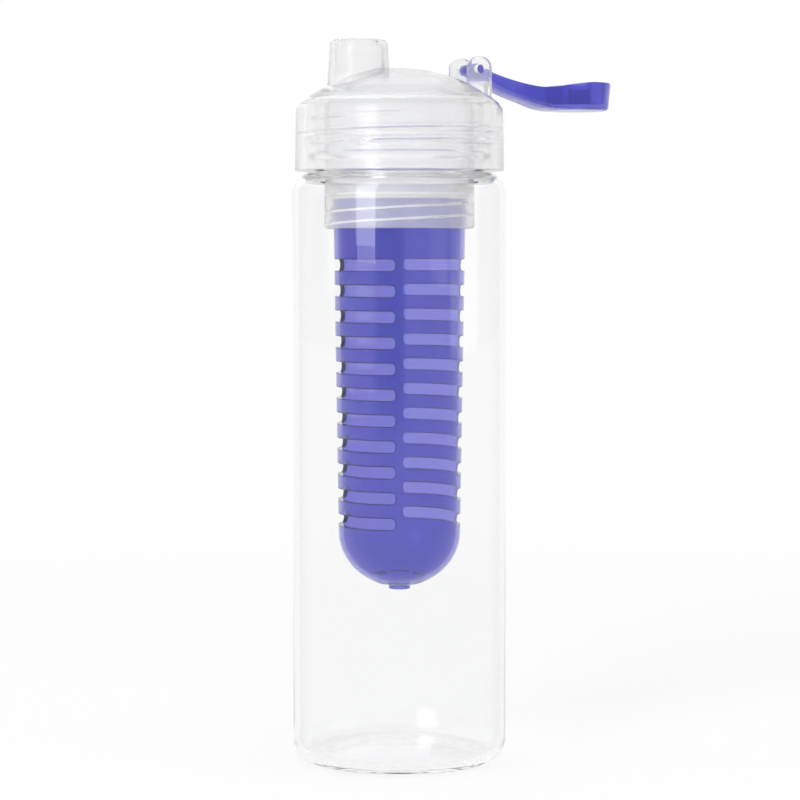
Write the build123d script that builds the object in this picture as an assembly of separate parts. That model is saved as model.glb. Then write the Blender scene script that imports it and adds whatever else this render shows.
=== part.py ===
"""Fruit infuser water bottle: clear body, screw lid with a spout, hanging infuser and flip cap.

The frame is in millimetres with +Z up. The origin is the centre of the base, on the plane that the
bottle stands on. The spout is on the -X side of the lid and the flip cap's hinge on the +X side,
with its pin along Y. The cap lies open, as far back as it goes.
"""

import os
from math import cos, degrees, radians, sin, sqrt

from build123d import *

# Bottle body, from the base up
BODY_H = 202.3
BODY_WALL = 2.0
BODY_STEP = 0.8
BASE_CORNER_R = 6.5
SHOULDER_CORNER_R = 7.0
BASE_FOOT_W = 5.0
BASE_PUSH_UP = 4.5
BASE_WALL = 2.6
NECK_H = 22.7
NECK_WALL = 1.85
NECK_ROOT_R = 1.2
NECK_RIM_R = 0.6

# Support bead on the neck
BEAD_H = 2.2
BEAD_W = 1.7
BEAD_RISE = 4.7

# Neck thread, one start
NECK_LEAD = 4.0
NECK_THREAD_H = 1.3
NECK_THREAD_BASE = 1.8
NECK_THREAD_CREST = 0.8
NECK_THREAD_RISE = 8.7
NECK_THREAD_TURNS = 2.6
NECK_THREAD_START_DEG = 35.0

# Screw lid
LID_FOOT_GAP = 0.5
LID_SKIRT_WALL = 3.4
LID_SKIRT_GAP = 0.85
LID_FLARE = 0.35
LID_CORNER_R = 2.75
LID_FOOT_R = 0.5
DOME_RISE = 13.4
DOME_WALL = 1.9
LID_THREAD_GAP = 0.6
LID_THREAD_BASE = 2.2
LID_THREAD_CREST = 1.0
LID_THREAD_LATE_TURNS = 0.5
LID_THREAD_TURNS = 1.6
FLANK_GAP = 0.3
LEAD_IN_DEG = 16.0

# Collar of the lid, which hangs into the bottle
COLLAR_WALL = 1.5
COLLAR_NECK_GAP = 1.5
COLLAR_H = 41.9
COLLAR_FOOT_R = 1.0
LEDGE_H = 1.6
LEDGE_W = 2.5

# Lid gasket
GASKET_T = 1.4
GASKET_GAP = 0.1
GASKET_SIDE_GAP = 0.35
GASKET_OVERHANG = 1.45

# Infuser and its thread, two starts
INFUSER_TOP_R = 22.65
INFUSER_TAPER = 1.6
INFUSER_WALL = 1.6
INFUSER_NECK_STEP = 0.45
INFUSER_NECK_H = 9.8
INFUSER_H = 134.4
INFUSER_ROUND_RISE = 19.9
INFUSER_LEAD = 8.0
INFUSER_STARTS = 2
INFUSER_THREAD_H = 0.8
INFUSER_THREAD_BASE = 1.2
INFUSER_THREAD_CREST = 0.6
INFUSER_THREAD_GAP = 0.4
INFUSER_THREAD_LOW = 2.4
INFUSER_THREAD_TURNS = 0.85
COLLAR_THREAD_TURNS = 0.95
INFUSER_THREAD_START_DEG = 150.0
SEAL_T = 1.0
SEAL_W = 1.5
SEAL_GAP = 0.15

# Slots in the infuser
SLOT_COUNT = 11
SLOT_H = 3.9
SLOT_TOP_DROP = 22.5
SLOT_FOOT_RISE = 24.4
SLOT_ARC_DEG = 109.0
DRAIN_COUNT = 6
DRAIN_R = 8.7
DRAIN_W = 1.0
DRAIN_ARC_DEG = 48.0
DRAIN_START_DEG = 241.0
TIP_RING_R = 3.75
TIP_RING_WALL = 1.0
TIP_RING_H = 0.8

# Spout
SPOUT_X = -15.6
SPOUT_TOP_R = 9.8
SPOUT_LOW_R = 10.9
SPOUT_WALL = 1.7
SPOUT_RISE = 8.8
SPOUT_EDGE_R = 1.2
SPOUT_PLATE = 1.8
DRINK_HOLE_R = 5.8

# Hinge
PIN_X = 27.9
PIN_RISE = 0.2
PIN_R = 1.5
PIN_RUN_GAP = 0.07
PIN_REACH = 2.2
EAR_R = 4.4
EAR_T = 3.0
EAR_EDGE_R = 0.5
WEB_T = 1.8
CAP_SIDE_GAP = 0.3
STOP_GAP = 0.3

# Flip cap, with its cup opening upwards
BARREL_R = 1.9
ARM_W = 9.0
ARM_WALL = 1.6
ARM_WEB = 1.5
CUP_RIM_R = 12.2
CUP_END_R = 11.45
CUP_WALL = 1.55
CUP_END_WALL = 1.6
CUP_END_EDGE_R = 1.3
CUP_H = 9.7
CUP_OVER_SPOUT = 2.9
PLUG_GAP = 0.3
PLUG_TIP_R = 4.9
PLUG_WALL = 1.3
PLUG_REACH = 0.9

# One overrun for every cut, and the turn that keeps seams off the lid's middle plane
OVER = 2.0
SEAM_DEG = 90.0

# How close an edge's radius and height must be to be picked, and how far a ridge sinks in its wall
PICK_TOLERANCE = 0.02
THREAD_SINK = 0.4

# Side view of the arm: along it as shares of the pin-to-cup distance, and down as shares of the
# drop from the pin to the cup's end
ARM_TOP_SHARES = ((0.16, 0.08), (0.41, 0.30), (0.64, 0.41), (0.86, 0.31))
ARM_LOW_SHARES = ((0.10, 0.30), (0.31, 0.62), (0.52, 0.83), (0.68, 0.96))
ARM_FLARE_START_SHARE = 0.34
ARM_FLARE_END_DEG = 115.0
WEB_INSET_SHARE = 0.5

# Radii that follow from the fits, from the infuser outwards
infuser_low_r = INFUSER_TOP_R - INFUSER_TAPER
infuser_neck_r = INFUSER_TOP_R + INFUSER_NECK_STEP
collar_bore_r = infuser_neck_r + INFUSER_THREAD_H + INFUSER_THREAD_GAP
collar_r = collar_bore_r + COLLAR_WALL
neck_bore_r = collar_r + COLLAR_NECK_GAP
neck_r = neck_bore_r + NECK_WALL
bead_r = neck_r + BEAD_H
skirt_bore_r = bead_r + LID_SKIRT_GAP
seat_r = neck_r + NECK_THREAD_H + LID_FOOT_R
lid_r = skirt_bore_r + LID_SKIRT_WALL
lid_foot_r = lid_r + LID_FLARE
body_r = lid_foot_r + BODY_STEP

# Heights that follow from the fits, from the base up
neck_z = BODY_H + NECK_H
lid_z = BODY_H + LID_FOOT_GAP
gasket_z = neck_z + GASKET_GAP
seat_z = gasket_z + GASKET_T + GASKET_GAP
dome_edge_z = seat_z - DOME_WALL
crown_z = dome_edge_z + DOME_RISE
dome_r = (lid_r**2 + DOME_RISE**2) / (2 * DOME_RISE)
dome_centre_z = crown_z - dome_r
collar_z = neck_z - COLLAR_H
infuser_top_z = collar_z + INFUSER_NECK_H + FLANK_GAP
infuser_tip_z = infuser_top_z - INFUSER_H
slot_pitch = (INFUSER_H - SLOT_TOP_DROP - SLOT_FOOT_RISE) / (SLOT_COUNT - 1)
seal_z = infuser_top_z + SEAL_GAP
ledge_z = seal_z + SEAL_T + SEAL_GAP
pin_z = crown_z + PIN_RISE
spout_z = crown_z + SPOUT_RISE
cup_reach = PIN_X - SPOUT_X
cup_drop = spout_z + CUP_OVER_SPOUT + CUP_END_WALL - pin_z
cup_rim_drop = cup_drop - CUP_H


def ring_solid(*points):
    """Turn a closed outline of (radius, height) points about the Z axis."""
    outline = Polyline(*[(r, 0, z) for r, z in points], close=True)
    return revolve(make_face(outline), Axis.Z)


def disc(radius, low_z, high_z):
    """Upright cylinder on the Z axis between two heights."""
    return Pos(0, 0, low_z) * Cylinder(radius, high_z - low_z, align=(Align.CENTER, Align.CENTER, Align.MIN))


def round_edges_at(solid, radius, edge_r, edge_z):
    """Fillet the circular edge of one radius at one height."""
    edges = [
        e
        for e in solid.edges().filter_by(GeomType.CIRCLE)
        if abs(e.radius - edge_r) < PICK_TOLERANCE
        and abs(e.center(CenterOf.BOUNDING_BOX).Z - edge_z) < PICK_TOLERANCE
    ]
    return fillet(edges, radius)


def thread_ridge(wall_r, depth, base, crest, lead, start_z, start_deg, turns):
    """Helical ridge on a wall: it stands out by depth, or inwards where depth is negative."""
    side = 1 if depth > 0 else -1
    root_r = wall_r - side * THREAD_SINK
    crest_r = wall_r + depth
    path = Helix(lead, lead * turns, wall_r)
    section = make_face(
        Polyline(
            (root_r, 0, -base / 2),
            (crest_r, 0, -crest / 2),
            (crest_r, 0, crest / 2),
            (root_r, 0, base / 2),
            close=True,
        )
    )
    ridge = sweep(section, path=path, is_frenet=True)
    end_deg = 360 * turns
    for angle, z, way in ((0, 0, 1), (end_deg, lead * turns, -1)):
        ridge -= Rot(0, 0, angle) * Pos(0, 0, z) * lead_in_cutter(wall_r, depth, base, way)
    return Pos(0, 0, start_z) * Rot(0, 0, start_deg) * ridge


def lead_in_cutter(wall_r, depth, base, way):
    """Wedge that slopes one end of a ridge back to its wall over a few degrees of turn."""
    ramp = radians(way * LEAD_IN_DEG)
    back = -ramp / 2
    crest_r = wall_r + depth
    beyond_r = crest_r + depth
    outline = Polyline(
        (wall_r, 0),
        (crest_r * cos(ramp), crest_r * sin(ramp)),
        (beyond_r * cos(ramp), beyond_r * sin(ramp)),
        (beyond_r * cos(back), beyond_r * sin(back)),
        (wall_r * cos(back), wall_r * sin(back)),
        close=True,
    )
    return extrude(make_face(outline), base, both=True)


def bottle_body():
    """Clear bottle with a pushed-up base, a rounded shoulder, a bead and the neck thread."""
    bore = body_r - BODY_WALL
    foot_r = body_r - BASE_CORNER_R
    push_r = foot_r - BASE_FOOT_W
    outside = disc(body_r, 0, BODY_H)
    outside = round_edges_at(outside, SHOULDER_CORNER_R, body_r, BODY_H)
    outside = round_edges_at(outside, BASE_CORNER_R, body_r, 0)
    outside += disc(neck_r, BODY_H, neck_z)
    outside = round_edges_at(outside, NECK_ROOT_R, neck_r, BODY_H)
    inside = disc(bore, BASE_WALL, BODY_H - BODY_WALL)
    inside = round_edges_at(inside, SHOULDER_CORNER_R - BODY_WALL, bore, BODY_H - BODY_WALL)
    inside = round_edges_at(inside, BASE_CORNER_R - BODY_WALL, bore, BASE_WALL)
    mouth = disc(neck_bore_r, BODY_H - 2 * BODY_WALL, neck_z + OVER)
    ball_r = (push_r**2 + BASE_PUSH_UP**2) / (2 * BASE_PUSH_UP)
    push_up = Pos(0, 0, BASE_PUSH_UP - ball_r) * Sphere(ball_r)
    inner_ball = Pos(0, 0, BASE_PUSH_UP - ball_r) * Sphere(ball_r + BASE_WALL)
    body = outside - (inside - inner_ball) - mouth - push_up
    bead_z = BODY_H + BEAD_RISE
    body += ring_solid(
        (neck_r - THREAD_SINK, bead_z - BEAD_W / 2),
        (bead_r, bead_z + BEAD_W / 4),
        (bead_r, bead_z + BEAD_W),
        (neck_r - THREAD_SINK, bead_z + 3 * BEAD_W / 2),
    )
    body += thread_ridge(
        neck_r,
        NECK_THREAD_H,
        NECK_THREAD_BASE,
        NECK_THREAD_CREST,
        NECK_LEAD,
        BODY_H + NECK_THREAD_RISE,
        NECK_THREAD_START_DEG,
        NECK_THREAD_TURNS,
    )
    body = round_edges_at(body, NECK_RIM_R, neck_r, neck_z)
    return round_edges_at(body, NECK_RIM_R, neck_bore_r, neck_z)


def dome_z(radius, inset=0):
    """Height of the dome at one distance from the Z axis, drawn in by inset."""
    return dome_centre_z + sqrt((dome_r - inset) ** 2 - radius**2)


def dome_solid(points, edge_r, inset=0):
    """Turn an outline about Z that ends on the axis under the dome and is closed by its arc."""
    crown = (0, 0, dome_z(0, inset))
    edge = (edge_r, 0, dome_z(edge_r, inset))
    middle = (edge_r / 2, 0, dome_z(edge_r / 2, inset))
    corners = [edge] + [(r, 0, z) for r, z in points] + [(0, 0, points[-1][1])]
    outline = ThreePointArc(crown, middle, edge) + Polyline(*corners, crown)
    return Rot(0, 0, SEAM_DEG) * revolve(make_face(outline), Axis.Z)


def lid_outside():
    """Outside of the lid without its spout and ears: skirt, dome and the collar's outside."""
    cap = dome_solid([(lid_foot_r, lid_z)], lid_r)
    cap = round_edges_at(cap, LID_CORNER_R, lid_r, dome_edge_z)
    return round_edges_at(cap, LID_FOOT_R, lid_foot_r, lid_z)


def lid_inside():
    """Room in the collar, up to the inner face of the dome."""
    return dome_solid([(collar_bore_r, collar_z - OVER)], collar_bore_r, DOME_WALL)


def skirt_room():
    """Ring-shaped room between the skirt and the collar, which takes the neck and the gasket."""
    return ring_solid(
        (collar_r, lid_z - OVER),
        (skirt_bore_r, lid_z - OVER),
        (skirt_bore_r, dome_edge_z - LID_FOOT_R),
        (seat_r, dome_edge_z - LID_FOOT_R),
        (seat_r, seat_z),
        (collar_r, seat_z),
    )


def spout_blank():
    """Tapered outside of the spout with a rounded top edge, reaching down into the dome."""
    low_z = dome_z(SPOUT_LOW_R - SPOUT_X) - DOME_WALL
    height = spout_z - low_z
    blank = Cone(SPOUT_LOW_R, SPOUT_TOP_R, height, align=(Align.CENTER, Align.CENTER, Align.MIN))
    top = blank.edges().filter_by(GeomType.CIRCLE).sort_by(Axis.Z)[-1]
    return Pos(SPOUT_X, 0, low_z) * Rot(0, 0, SEAM_DEG) * fillet(top, SPOUT_EDGE_R)


def hinge_ears():
    """Two ears with round tops, and the low web between them that the open arm rests on."""
    inner_y = ARM_W / 2 + CAP_SIDE_GAP
    foot_z = dome_centre_z + sqrt(dome_r**2 - (PIN_X + EAR_R) ** 2 - (inner_y + EAR_T) ** 2) - DOME_WALL
    tall = pin_z - foot_z
    outline = (
        Line((EAR_R, -tall), (EAR_R, 0))
        + ThreePointArc((EAR_R, 0), (0, EAR_R), (-EAR_R, 0))
        + Line((-EAR_R, 0), (-EAR_R, -tall))
        + Line((-EAR_R, -tall), (EAR_R, -tall))
    )
    plate = Pos(PIN_X, 0, pin_z) * extrude(Plane.XZ * make_face(outline), EAR_T)
    rims = plate.edges().filter_by(GeomType.CIRCLE) + plate.edges().filter_by(Axis.Z)
    plate = fillet(rims, EAR_EDGE_R)
    ears = Pos(0, -inner_y, 0) * plate + Pos(0, inner_y + EAR_T, 0) * plate
    web_x = PIN_X + EAR_R * WEB_INSET_SHARE
    web_top = pin_z - arm_low_at(web_x + WEB_T - PIN_X) - STOP_GAP
    web = Pos(web_x, 0, foot_z) * Box(
        WEB_T, 2 * inner_y + EAR_T, web_top - foot_z, align=(Align.MIN, Align.CENTER, Align.MIN)
    )
    return ears + web


def screw_lid():
    """Frosted lid: threaded skirt, dome, spout, ears, and the collar that takes the infuser."""
    collar = disc(collar_r, collar_z, seat_z)
    collar = Rot(0, 0, SEAM_DEG) * round_edges_at(collar, COLLAR_FOOT_R, collar_r, collar_z)
    lid = lid_outside() + spout_blank()
    lid += hinge_ears()
    lid -= skirt_room()
    lid += collar
    lid -= lid_inside()
    lid += ring_solid(
        (collar_bore_r + THREAD_SINK, ledge_z),
        (collar_bore_r - LEDGE_W, ledge_z),
        (collar_bore_r - LEDGE_W, ledge_z + LEDGE_H / 2),
        (collar_bore_r + THREAD_SINK, ledge_z + LEDGE_H + LEDGE_W),
    )
    bore_low_z = dome_z(collar_bore_r, DOME_WALL) - DOME_WALL
    lid -= Pos(SPOUT_X, 0, 0) * disc(SPOUT_TOP_R - SPOUT_WALL, bore_low_z, spout_z - SPOUT_PLATE)
    lid -= Pos(SPOUT_X, 0, 0) * disc(DRINK_HOLE_R, pin_z, spout_z + OVER)
    lid -= Pos(PIN_X, 0, pin_z) * Rot(90, 0, 0) * Cylinder(PIN_R + PIN_RUN_GAP, ARM_W + 4 * EAR_T)
    lid += lid_thread()
    for ridge in collar_threads():
        lid += ridge
    return lid


def lid_thread():
    """Ridge inside the skirt, lying under the neck's ridge with a small gap between the flanks."""
    depth = skirt_bore_r - neck_r - LID_THREAD_GAP
    flank = (NECK_THREAD_BASE + NECK_THREAD_CREST + LID_THREAD_CREST) / 2
    late_z = NECK_LEAD * LID_THREAD_LATE_TURNS
    return thread_ridge(
        skirt_bore_r,
        -depth,
        LID_THREAD_BASE,
        LID_THREAD_CREST,
        NECK_LEAD,
        BODY_H + NECK_THREAD_RISE + late_z - flank + FLANK_GAP,
        NECK_THREAD_START_DEG + 360 * LID_THREAD_LATE_TURNS,
        LID_THREAD_TURNS,
    )


def infuser_thread_z():
    """Height of the middle of the infuser's ridges where they start."""
    return collar_z + INFUSER_THREAD_LOW


def collar_threads():
    """Ridges inside the collar, lying under the infuser's ridges, so that they carry it."""
    depth = collar_bore_r - infuser_neck_r - INFUSER_THREAD_GAP
    drop = (INFUSER_THREAD_BASE + INFUSER_THREAD_CREST) / 2 + FLANK_GAP
    for start in range(INFUSER_STARTS):
        yield thread_ridge(
            collar_bore_r,
            -depth,
            INFUSER_THREAD_BASE,
            INFUSER_THREAD_CREST,
            INFUSER_LEAD,
            infuser_thread_z() - drop,
            INFUSER_THREAD_START_DEG + 360 * start / INFUSER_STARTS,
            COLLAR_THREAD_TURNS,
        )


def lid_gasket():
    """Flat sealing ring between the bottle's rim and the lid."""
    inner_r = collar_r + GASKET_SIDE_GAP
    outer_r = neck_r + GASKET_OVERHANG
    return disc(outer_r, gasket_z, gasket_z + GASKET_T) - disc(inner_r, gasket_z - OVER, seat_z + OVER)


def infuser_seal():
    """Thin sealing ring between the infuser's top edge and the ledge in the collar."""
    inner_r = infuser_neck_r - SEAL_W
    return disc(infuser_neck_r, seal_z, seal_z + SEAL_T) - disc(inner_r, seal_z - OVER, ledge_z + OVER)


def infuser_blank(shrink):
    """Outside of the infuser, or its inside where shrink is the wall's thickness."""
    low_r = infuser_low_r - shrink
    tip_z = infuser_tip_z + TIP_RING_H + shrink
    round_z = infuser_tip_z + INFUSER_ROUND_RISE
    top_z = infuser_top_z + (OVER if shrink else 0)
    neck_low_z = infuser_top_z - INFUSER_NECK_H + INFUSER_NECK_STEP
    middle = radians(45)
    bend = (low_r * sin(middle), 0, round_z - (round_z - tip_z) * cos(middle))
    wall = Polyline(
        (low_r, 0, round_z),
        (INFUSER_TOP_R - shrink, 0, neck_low_z - INFUSER_NECK_STEP),
        (infuser_neck_r - shrink, 0, neck_low_z),
        (infuser_neck_r - shrink, 0, top_z),
        (0, 0, top_z),
        (0, 0, tip_z),
    )
    outline = ThreePointArc((0, 0, tip_z), bend, (low_r, 0, round_z)) + wall
    return revolve(make_face(outline), Axis.Z)


def slot_cutter(middle_z, middle_deg):
    """Cutter for one slot through the wall, with round ends, centred at one angle."""
    reach = INFUSER_TOP_R + OVER
    end_deg = SLOT_ARC_DEG / 2 - degrees(SLOT_H / 2 / INFUSER_TOP_R)
    inner = INFUSER_TOP_R / 2
    half = SLOT_H / 2
    section = Polyline((inner, 0, -half), (reach, 0, -half), (reach, 0, half), (inner, 0, half), close=True)
    cutter = Rot(0, 0, -end_deg) * revolve(make_face(section), Axis.Z, 2 * end_deg)
    for angle in (-end_deg, end_deg):
        cutter += (
            Rot(0, 0, angle)
            * Pos(inner, 0, 0)
            * Rot(0, 90, 0)
            * Cylinder(half, reach - inner, align=(Align.CENTER, Align.CENTER, Align.MIN))
        )
    return Pos(0, 0, middle_z) * Rot(0, 0, middle_deg) * cutter


def infuser_basket():
    """Infuser tube with its thread, two columns of slots, drain slits and the ring at its tip."""
    basket = infuser_blank(0) - infuser_blank(INFUSER_WALL)
    ring = disc(TIP_RING_R, infuser_tip_z, infuser_tip_z + TIP_RING_H + INFUSER_WALL / 2)
    ring -= disc(TIP_RING_R - TIP_RING_WALL, infuser_tip_z - OVER, infuser_tip_z + TIP_RING_H)
    basket += ring
    for row in range(SLOT_COUNT):
        middle_z = infuser_top_z - SLOT_TOP_DROP - row * slot_pitch
        for side in (0, 180):
            basket -= slot_cutter(middle_z, side)
    slit_face = Plane.XZ * Pos(DRAIN_R, infuser_tip_z) * Rectangle(
        DRAIN_W, INFUSER_ROUND_RISE, align=(Align.CENTER, Align.MIN)
    )
    slit = revolve(slit_face, Axis.Z, DRAIN_ARC_DEG)
    for number in range(DRAIN_COUNT):
        middle = DRAIN_START_DEG + 360 * number / DRAIN_COUNT
        basket -= Rot(0, 0, middle - DRAIN_ARC_DEG / 2) * slit
    for start in range(INFUSER_STARTS):
        basket += thread_ridge(
            infuser_neck_r,
            INFUSER_THREAD_H,
            INFUSER_THREAD_BASE,
            INFUSER_THREAD_CREST,
            INFUSER_LEAD,
            infuser_thread_z(),
            INFUSER_THREAD_START_DEG + 360 * start / INFUSER_STARTS,
            INFUSER_THREAD_TURNS,
        )
    return basket


def arm_points(shares):
    """Side-view points of the arm from its shares, along and down from the pin."""
    return [(along * cup_reach, -down * cup_drop) for along, down in shares]


def arm_low_at(along):
    """Depth below the pin of the arm's underside near the barrel, on the line to its first point."""
    first_along, first_down = arm_points(ARM_LOW_SHARES)[0]
    share = along / first_along
    return BARREL_R + (-first_down - BARREL_R) * share


def arm_side(rise):
    """Side view of the arm, its lower edge raised by rise, as a face in the XZ plane."""
    low = [(0, rise - BARREL_R)] + [(x, z + rise) for x, z in arm_points(ARM_LOW_SHARES)]
    low.append((cup_reach, rise - cup_drop))
    top = [(0, BARREL_R)] + arm_points(ARM_TOP_SHARES) + [(cup_reach, -cup_rim_drop)]
    if rise:
        top = [(x, z + OVER) for x, z in top]
    outline = (
        Line(low[0], low[1])
        + Spline(*low[1:], tangents=[(low[1][0] - low[0][0], low[1][1] - low[0][1]), (1, 0)])
        + Line(low[-1], top[-1])
        + Spline(*reversed(top))
        + Line(top[0], low[0])
    )
    return make_face(Plane.XZ * outline)


def arm_plan(inset):
    """Plan view of the arm and cup, drawn in by inset, as a face in the XY plane."""
    half = ARM_W / 2 - inset
    ring_r = CUP_END_R - inset
    end = radians(ARM_FLARE_END_DEG)
    start = (cup_reach * ARM_FLARE_START_SHARE, half)
    meet = (cup_reach + ring_r * cos(end), ring_r * sin(end))
    flare = Spline(start, meet, tangents=[(1, 0), (sin(end), -cos(end))])
    round_end = ThreePointArc(meet, (cup_reach + ring_r, 0), (meet[0], -meet[1]))
    other = Spline((start[0], -half), (meet[0], -meet[1]), tangents=[(1, 0), (sin(end), cos(end))])
    back = Line((0, half), start) + Line((0, half), (0, -half)) + Line((0, -half), (start[0], -half))
    return make_face(back + flare + round_end + other)


def flip_cap():
    """Flip cap in one piece: barrel with trunnions, channel-shaped arm, cup and plug ring."""
    side = extrude(arm_side(0), CUP_RIM_R, both=True)
    plan = extrude(arm_plan(0), cup_drop + OVER, both=True)
    arm = side & plan
    hollow = extrude(arm_side(ARM_WEB), CUP_RIM_R, both=True) & extrude(
        arm_plan(ARM_WALL), cup_drop + 2 * OVER, both=True
    )
    hollow -= Rot(90, 0, 0) * Cylinder(BARREL_R + ARM_WALL, ARM_W)
    arm -= hollow
    foot = (Align.CENTER, Align.CENTER, Align.MIN)
    cup = Cone(CUP_END_R, CUP_RIM_R, CUP_H, align=foot)
    cup = fillet(cup.edges().filter_by(GeomType.CIRCLE).sort_by(Axis.Z)[0], CUP_END_EDGE_R)
    room = Cone(CUP_END_R - CUP_WALL, CUP_RIM_R - CUP_WALL, CUP_H - CUP_END_WALL, align=foot)
    plug_h = CUP_OVER_SPOUT + SPOUT_PLATE + PLUG_REACH
    plug_r = DRINK_HOLE_R - PLUG_GAP
    plug = Cone(plug_r, PLUG_TIP_R, plug_h, align=foot)
    plug -= Cone(plug_r - PLUG_WALL, PLUG_TIP_R - PLUG_WALL, plug_h, align=foot)
    place = Pos(cup_reach, 0, -cup_drop)
    inner_place = place * Pos(0, 0, CUP_END_WALL)
    cap = arm + place * cup - inner_place * room + inner_place * plug
    cap += Rot(90, 0, 0) * Cylinder(BARREL_R, ARM_W)
    cap += Rot(90, 0, 0) * Cylinder(PIN_R, ARM_W + 2 * (CAP_SIDE_GAP + PIN_REACH))
    return Pos(PIN_X, 0, pin_z) * cap


os.makedirs("parts", exist_ok=True)
export_step(bottle_body(), "parts/bottle_body.step")
export_step(screw_lid(), "parts/screw_lid.step")
export_step(lid_gasket(), "parts/lid_gasket.step")
export_step(infuser_basket(), "parts/infuser_basket.step")
export_step(infuser_seal(), "parts/infuser_seal.step")
export_step(flip_cap(), "parts/flip_cap.step")

print("body radius", body_r, "crown", crown_z, "spout top", spout_z, "pin", PIN_X, pin_z)
print("lid lift", NECK_LEAD * (NECK_THREAD_TURNS - LID_THREAD_LATE_TURNS), "mm")
print("infuser drop", INFUSER_LEAD * INFUSER_THREAD_TURNS, "mm, tip at", infuser_tip_z)
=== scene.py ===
"""Dressed model of a fruit infuser water bottle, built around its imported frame.

Sizes are in millimetres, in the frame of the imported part: +Z up, the origin in the centre of the base,
the spout on the -X side of the lid and the flip cap's hinge on the +X side. Meshes are made in metres.
"""

import logging
import math
from dataclasses import dataclass
from enum import Enum
from functools import cache
from typing import Callable, NamedTuple, Sequence

import bmesh
import bpy
from mathutils import Euler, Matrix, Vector


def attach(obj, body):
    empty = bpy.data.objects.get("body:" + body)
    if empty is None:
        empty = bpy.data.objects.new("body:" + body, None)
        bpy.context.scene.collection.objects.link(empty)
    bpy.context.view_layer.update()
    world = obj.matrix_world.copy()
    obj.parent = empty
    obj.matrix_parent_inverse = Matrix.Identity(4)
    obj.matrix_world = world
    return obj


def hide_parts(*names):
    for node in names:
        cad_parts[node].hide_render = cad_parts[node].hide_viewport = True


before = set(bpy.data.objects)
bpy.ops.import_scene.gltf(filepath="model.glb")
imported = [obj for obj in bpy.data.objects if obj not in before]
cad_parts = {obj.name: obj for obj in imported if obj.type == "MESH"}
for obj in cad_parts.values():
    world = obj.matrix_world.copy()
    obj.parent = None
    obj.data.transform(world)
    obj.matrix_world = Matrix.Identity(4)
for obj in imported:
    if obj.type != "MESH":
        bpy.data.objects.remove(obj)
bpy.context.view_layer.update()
LOG = logging.getLogger("infuser_bottle")

MM = 0.001
UP = (0.0, 0.0, 1.0)
QUARTER = math.radians(90)
SMOOTH_DEG = 32.0
MERGE_GAP = 0.002
NEAR = 0.1
COLLAR_STARTS_DEG = (150.0, 330.0)
VECTOR, NUMBER = "NodeSocketVector", "NodeSocketFloat"
WHITE = (1.0, 1.0, 1.0, 1.0)
GRAINS_PER_PATCH = 45.0
FLOW_STRETCH = (1.0, 1.0, 0.3)
SMUDGES_PER_METRE = 55.0
SCUFFS_PER_METRE = 900.0
MARK_CONTRAST = 4.5
MARK_START = 0.9

Value = bpy.types.NodeSocket | float | Sequence[float]


class Ring(NamedTuple):
    """A point of a turned outline: its distance from the axis and its height."""

    radius: float
    height: float


class Joining(Enum):
    """Ways in which one solid is combined with another."""

    UNION = "UNION"
    CUT = "DIFFERENCE"
    COMMON = "INTERSECT"


class Body(Enum):
    """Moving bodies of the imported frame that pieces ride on."""

    BOTTLE = "bottle"
    GASKET = "gasket"
    LID = "lid"
    SEAL = "seal"
    INFUSER = "infuser"
    CAP = "cap"


class Part(Enum):
    """Parts of a mesh that are picked in edit mode."""

    EDGES = "EDGE"
    FACES = "FACE"


def arc(centre: Ring, radius: float, from_deg: float, to_deg: float, steps: int) -> list[Ring]:
    """Points of an outline along an arc.

    Args:
        centre: Centre of the arc.
        radius: Radius of the arc.
        from_deg: Angle of the first point; 0 is outwards and 90 is up.
        to_deg: Angle of the last point.
        steps: Number of pieces that the arc is divided into.

    Returns:
        The points, with both ends.
    """
    points = []
    for step in range(steps + 1):
        angle = math.radians(from_deg + (to_deg - from_deg) * step / steps)
        out, up = radius * math.cos(angle), radius * math.sin(angle)
        points.append(Ring(centre.radius + out, centre.height + up))
    return points


def clear_selection() -> None:
    """Leave edit mode and deselect every object."""
    if bpy.context.object and bpy.context.object.mode != "OBJECT":
        bpy.ops.object.mode_set(mode="OBJECT")
    bpy.ops.object.select_all(action="DESELECT")


def make_active(piece: bpy.types.Object) -> None:
    """Select one object alone and make it the active one.

    Args:
        piece: The object.
    """
    clear_selection()
    piece.select_set(True)
    bpy.context.view_layer.objects.active = piece


def edit(piece: bpy.types.Object) -> None:
    """Go into edit mode on one object with nothing selected.

    Args:
        piece: The object.
    """
    make_active(piece)
    bpy.ops.object.mode_set(mode="EDIT")
    bpy.ops.mesh.select_all(action="DESELECT")


def place_in_mesh(piece: bpy.types.Object) -> None:
    """Move an object's place, turn and scale into its mesh.

    Args:
        piece: The object.
    """
    make_active(piece)
    bpy.ops.object.transform_apply(location=True, rotation=True, scale=True)


def pick(piece: bpy.types.Object, part: Part, wanted: Callable[[Vector, Vector], bool]) -> None:
    """Select edges or faces of a piece in edit mode by their places.

    Args:
        piece: Object in edit mode.
        part: Whether edges or faces are picked.
        wanted: Says whether one is picked, from an edge's two ends or from a face's middle and normal,
            with places in millimetres.
    """
    bpy.ops.mesh.select_mode(type=part.value)
    shape = bmesh.from_edit_mesh(piece.data)
    if part is Part.EDGES:
        for edge in shape.edges:
            edge.select = wanted(*(end.co / MM for end in edge.verts))
    else:
        for face in shape.faces:
            face.select = wanted(face.calc_center_median() / MM, face.normal)
    shape.select_flush_mode()
    bmesh.update_edit_mesh(piece.data)


def close_mesh(piece: bpy.types.Object) -> None:
    """Merge doubled points, fill open ends and turn all faces outwards.

    Args:
        piece: The object.
    """
    edit(piece)
    bpy.ops.mesh.select_all(action="SELECT")
    bpy.ops.mesh.remove_doubles(threshold=MERGE_GAP * MM)
    bpy.ops.mesh.fill_holes(sides=0)
    bpy.ops.mesh.normals_make_consistent(inside=False)
    bpy.ops.object.mode_set(mode="OBJECT")


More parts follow.
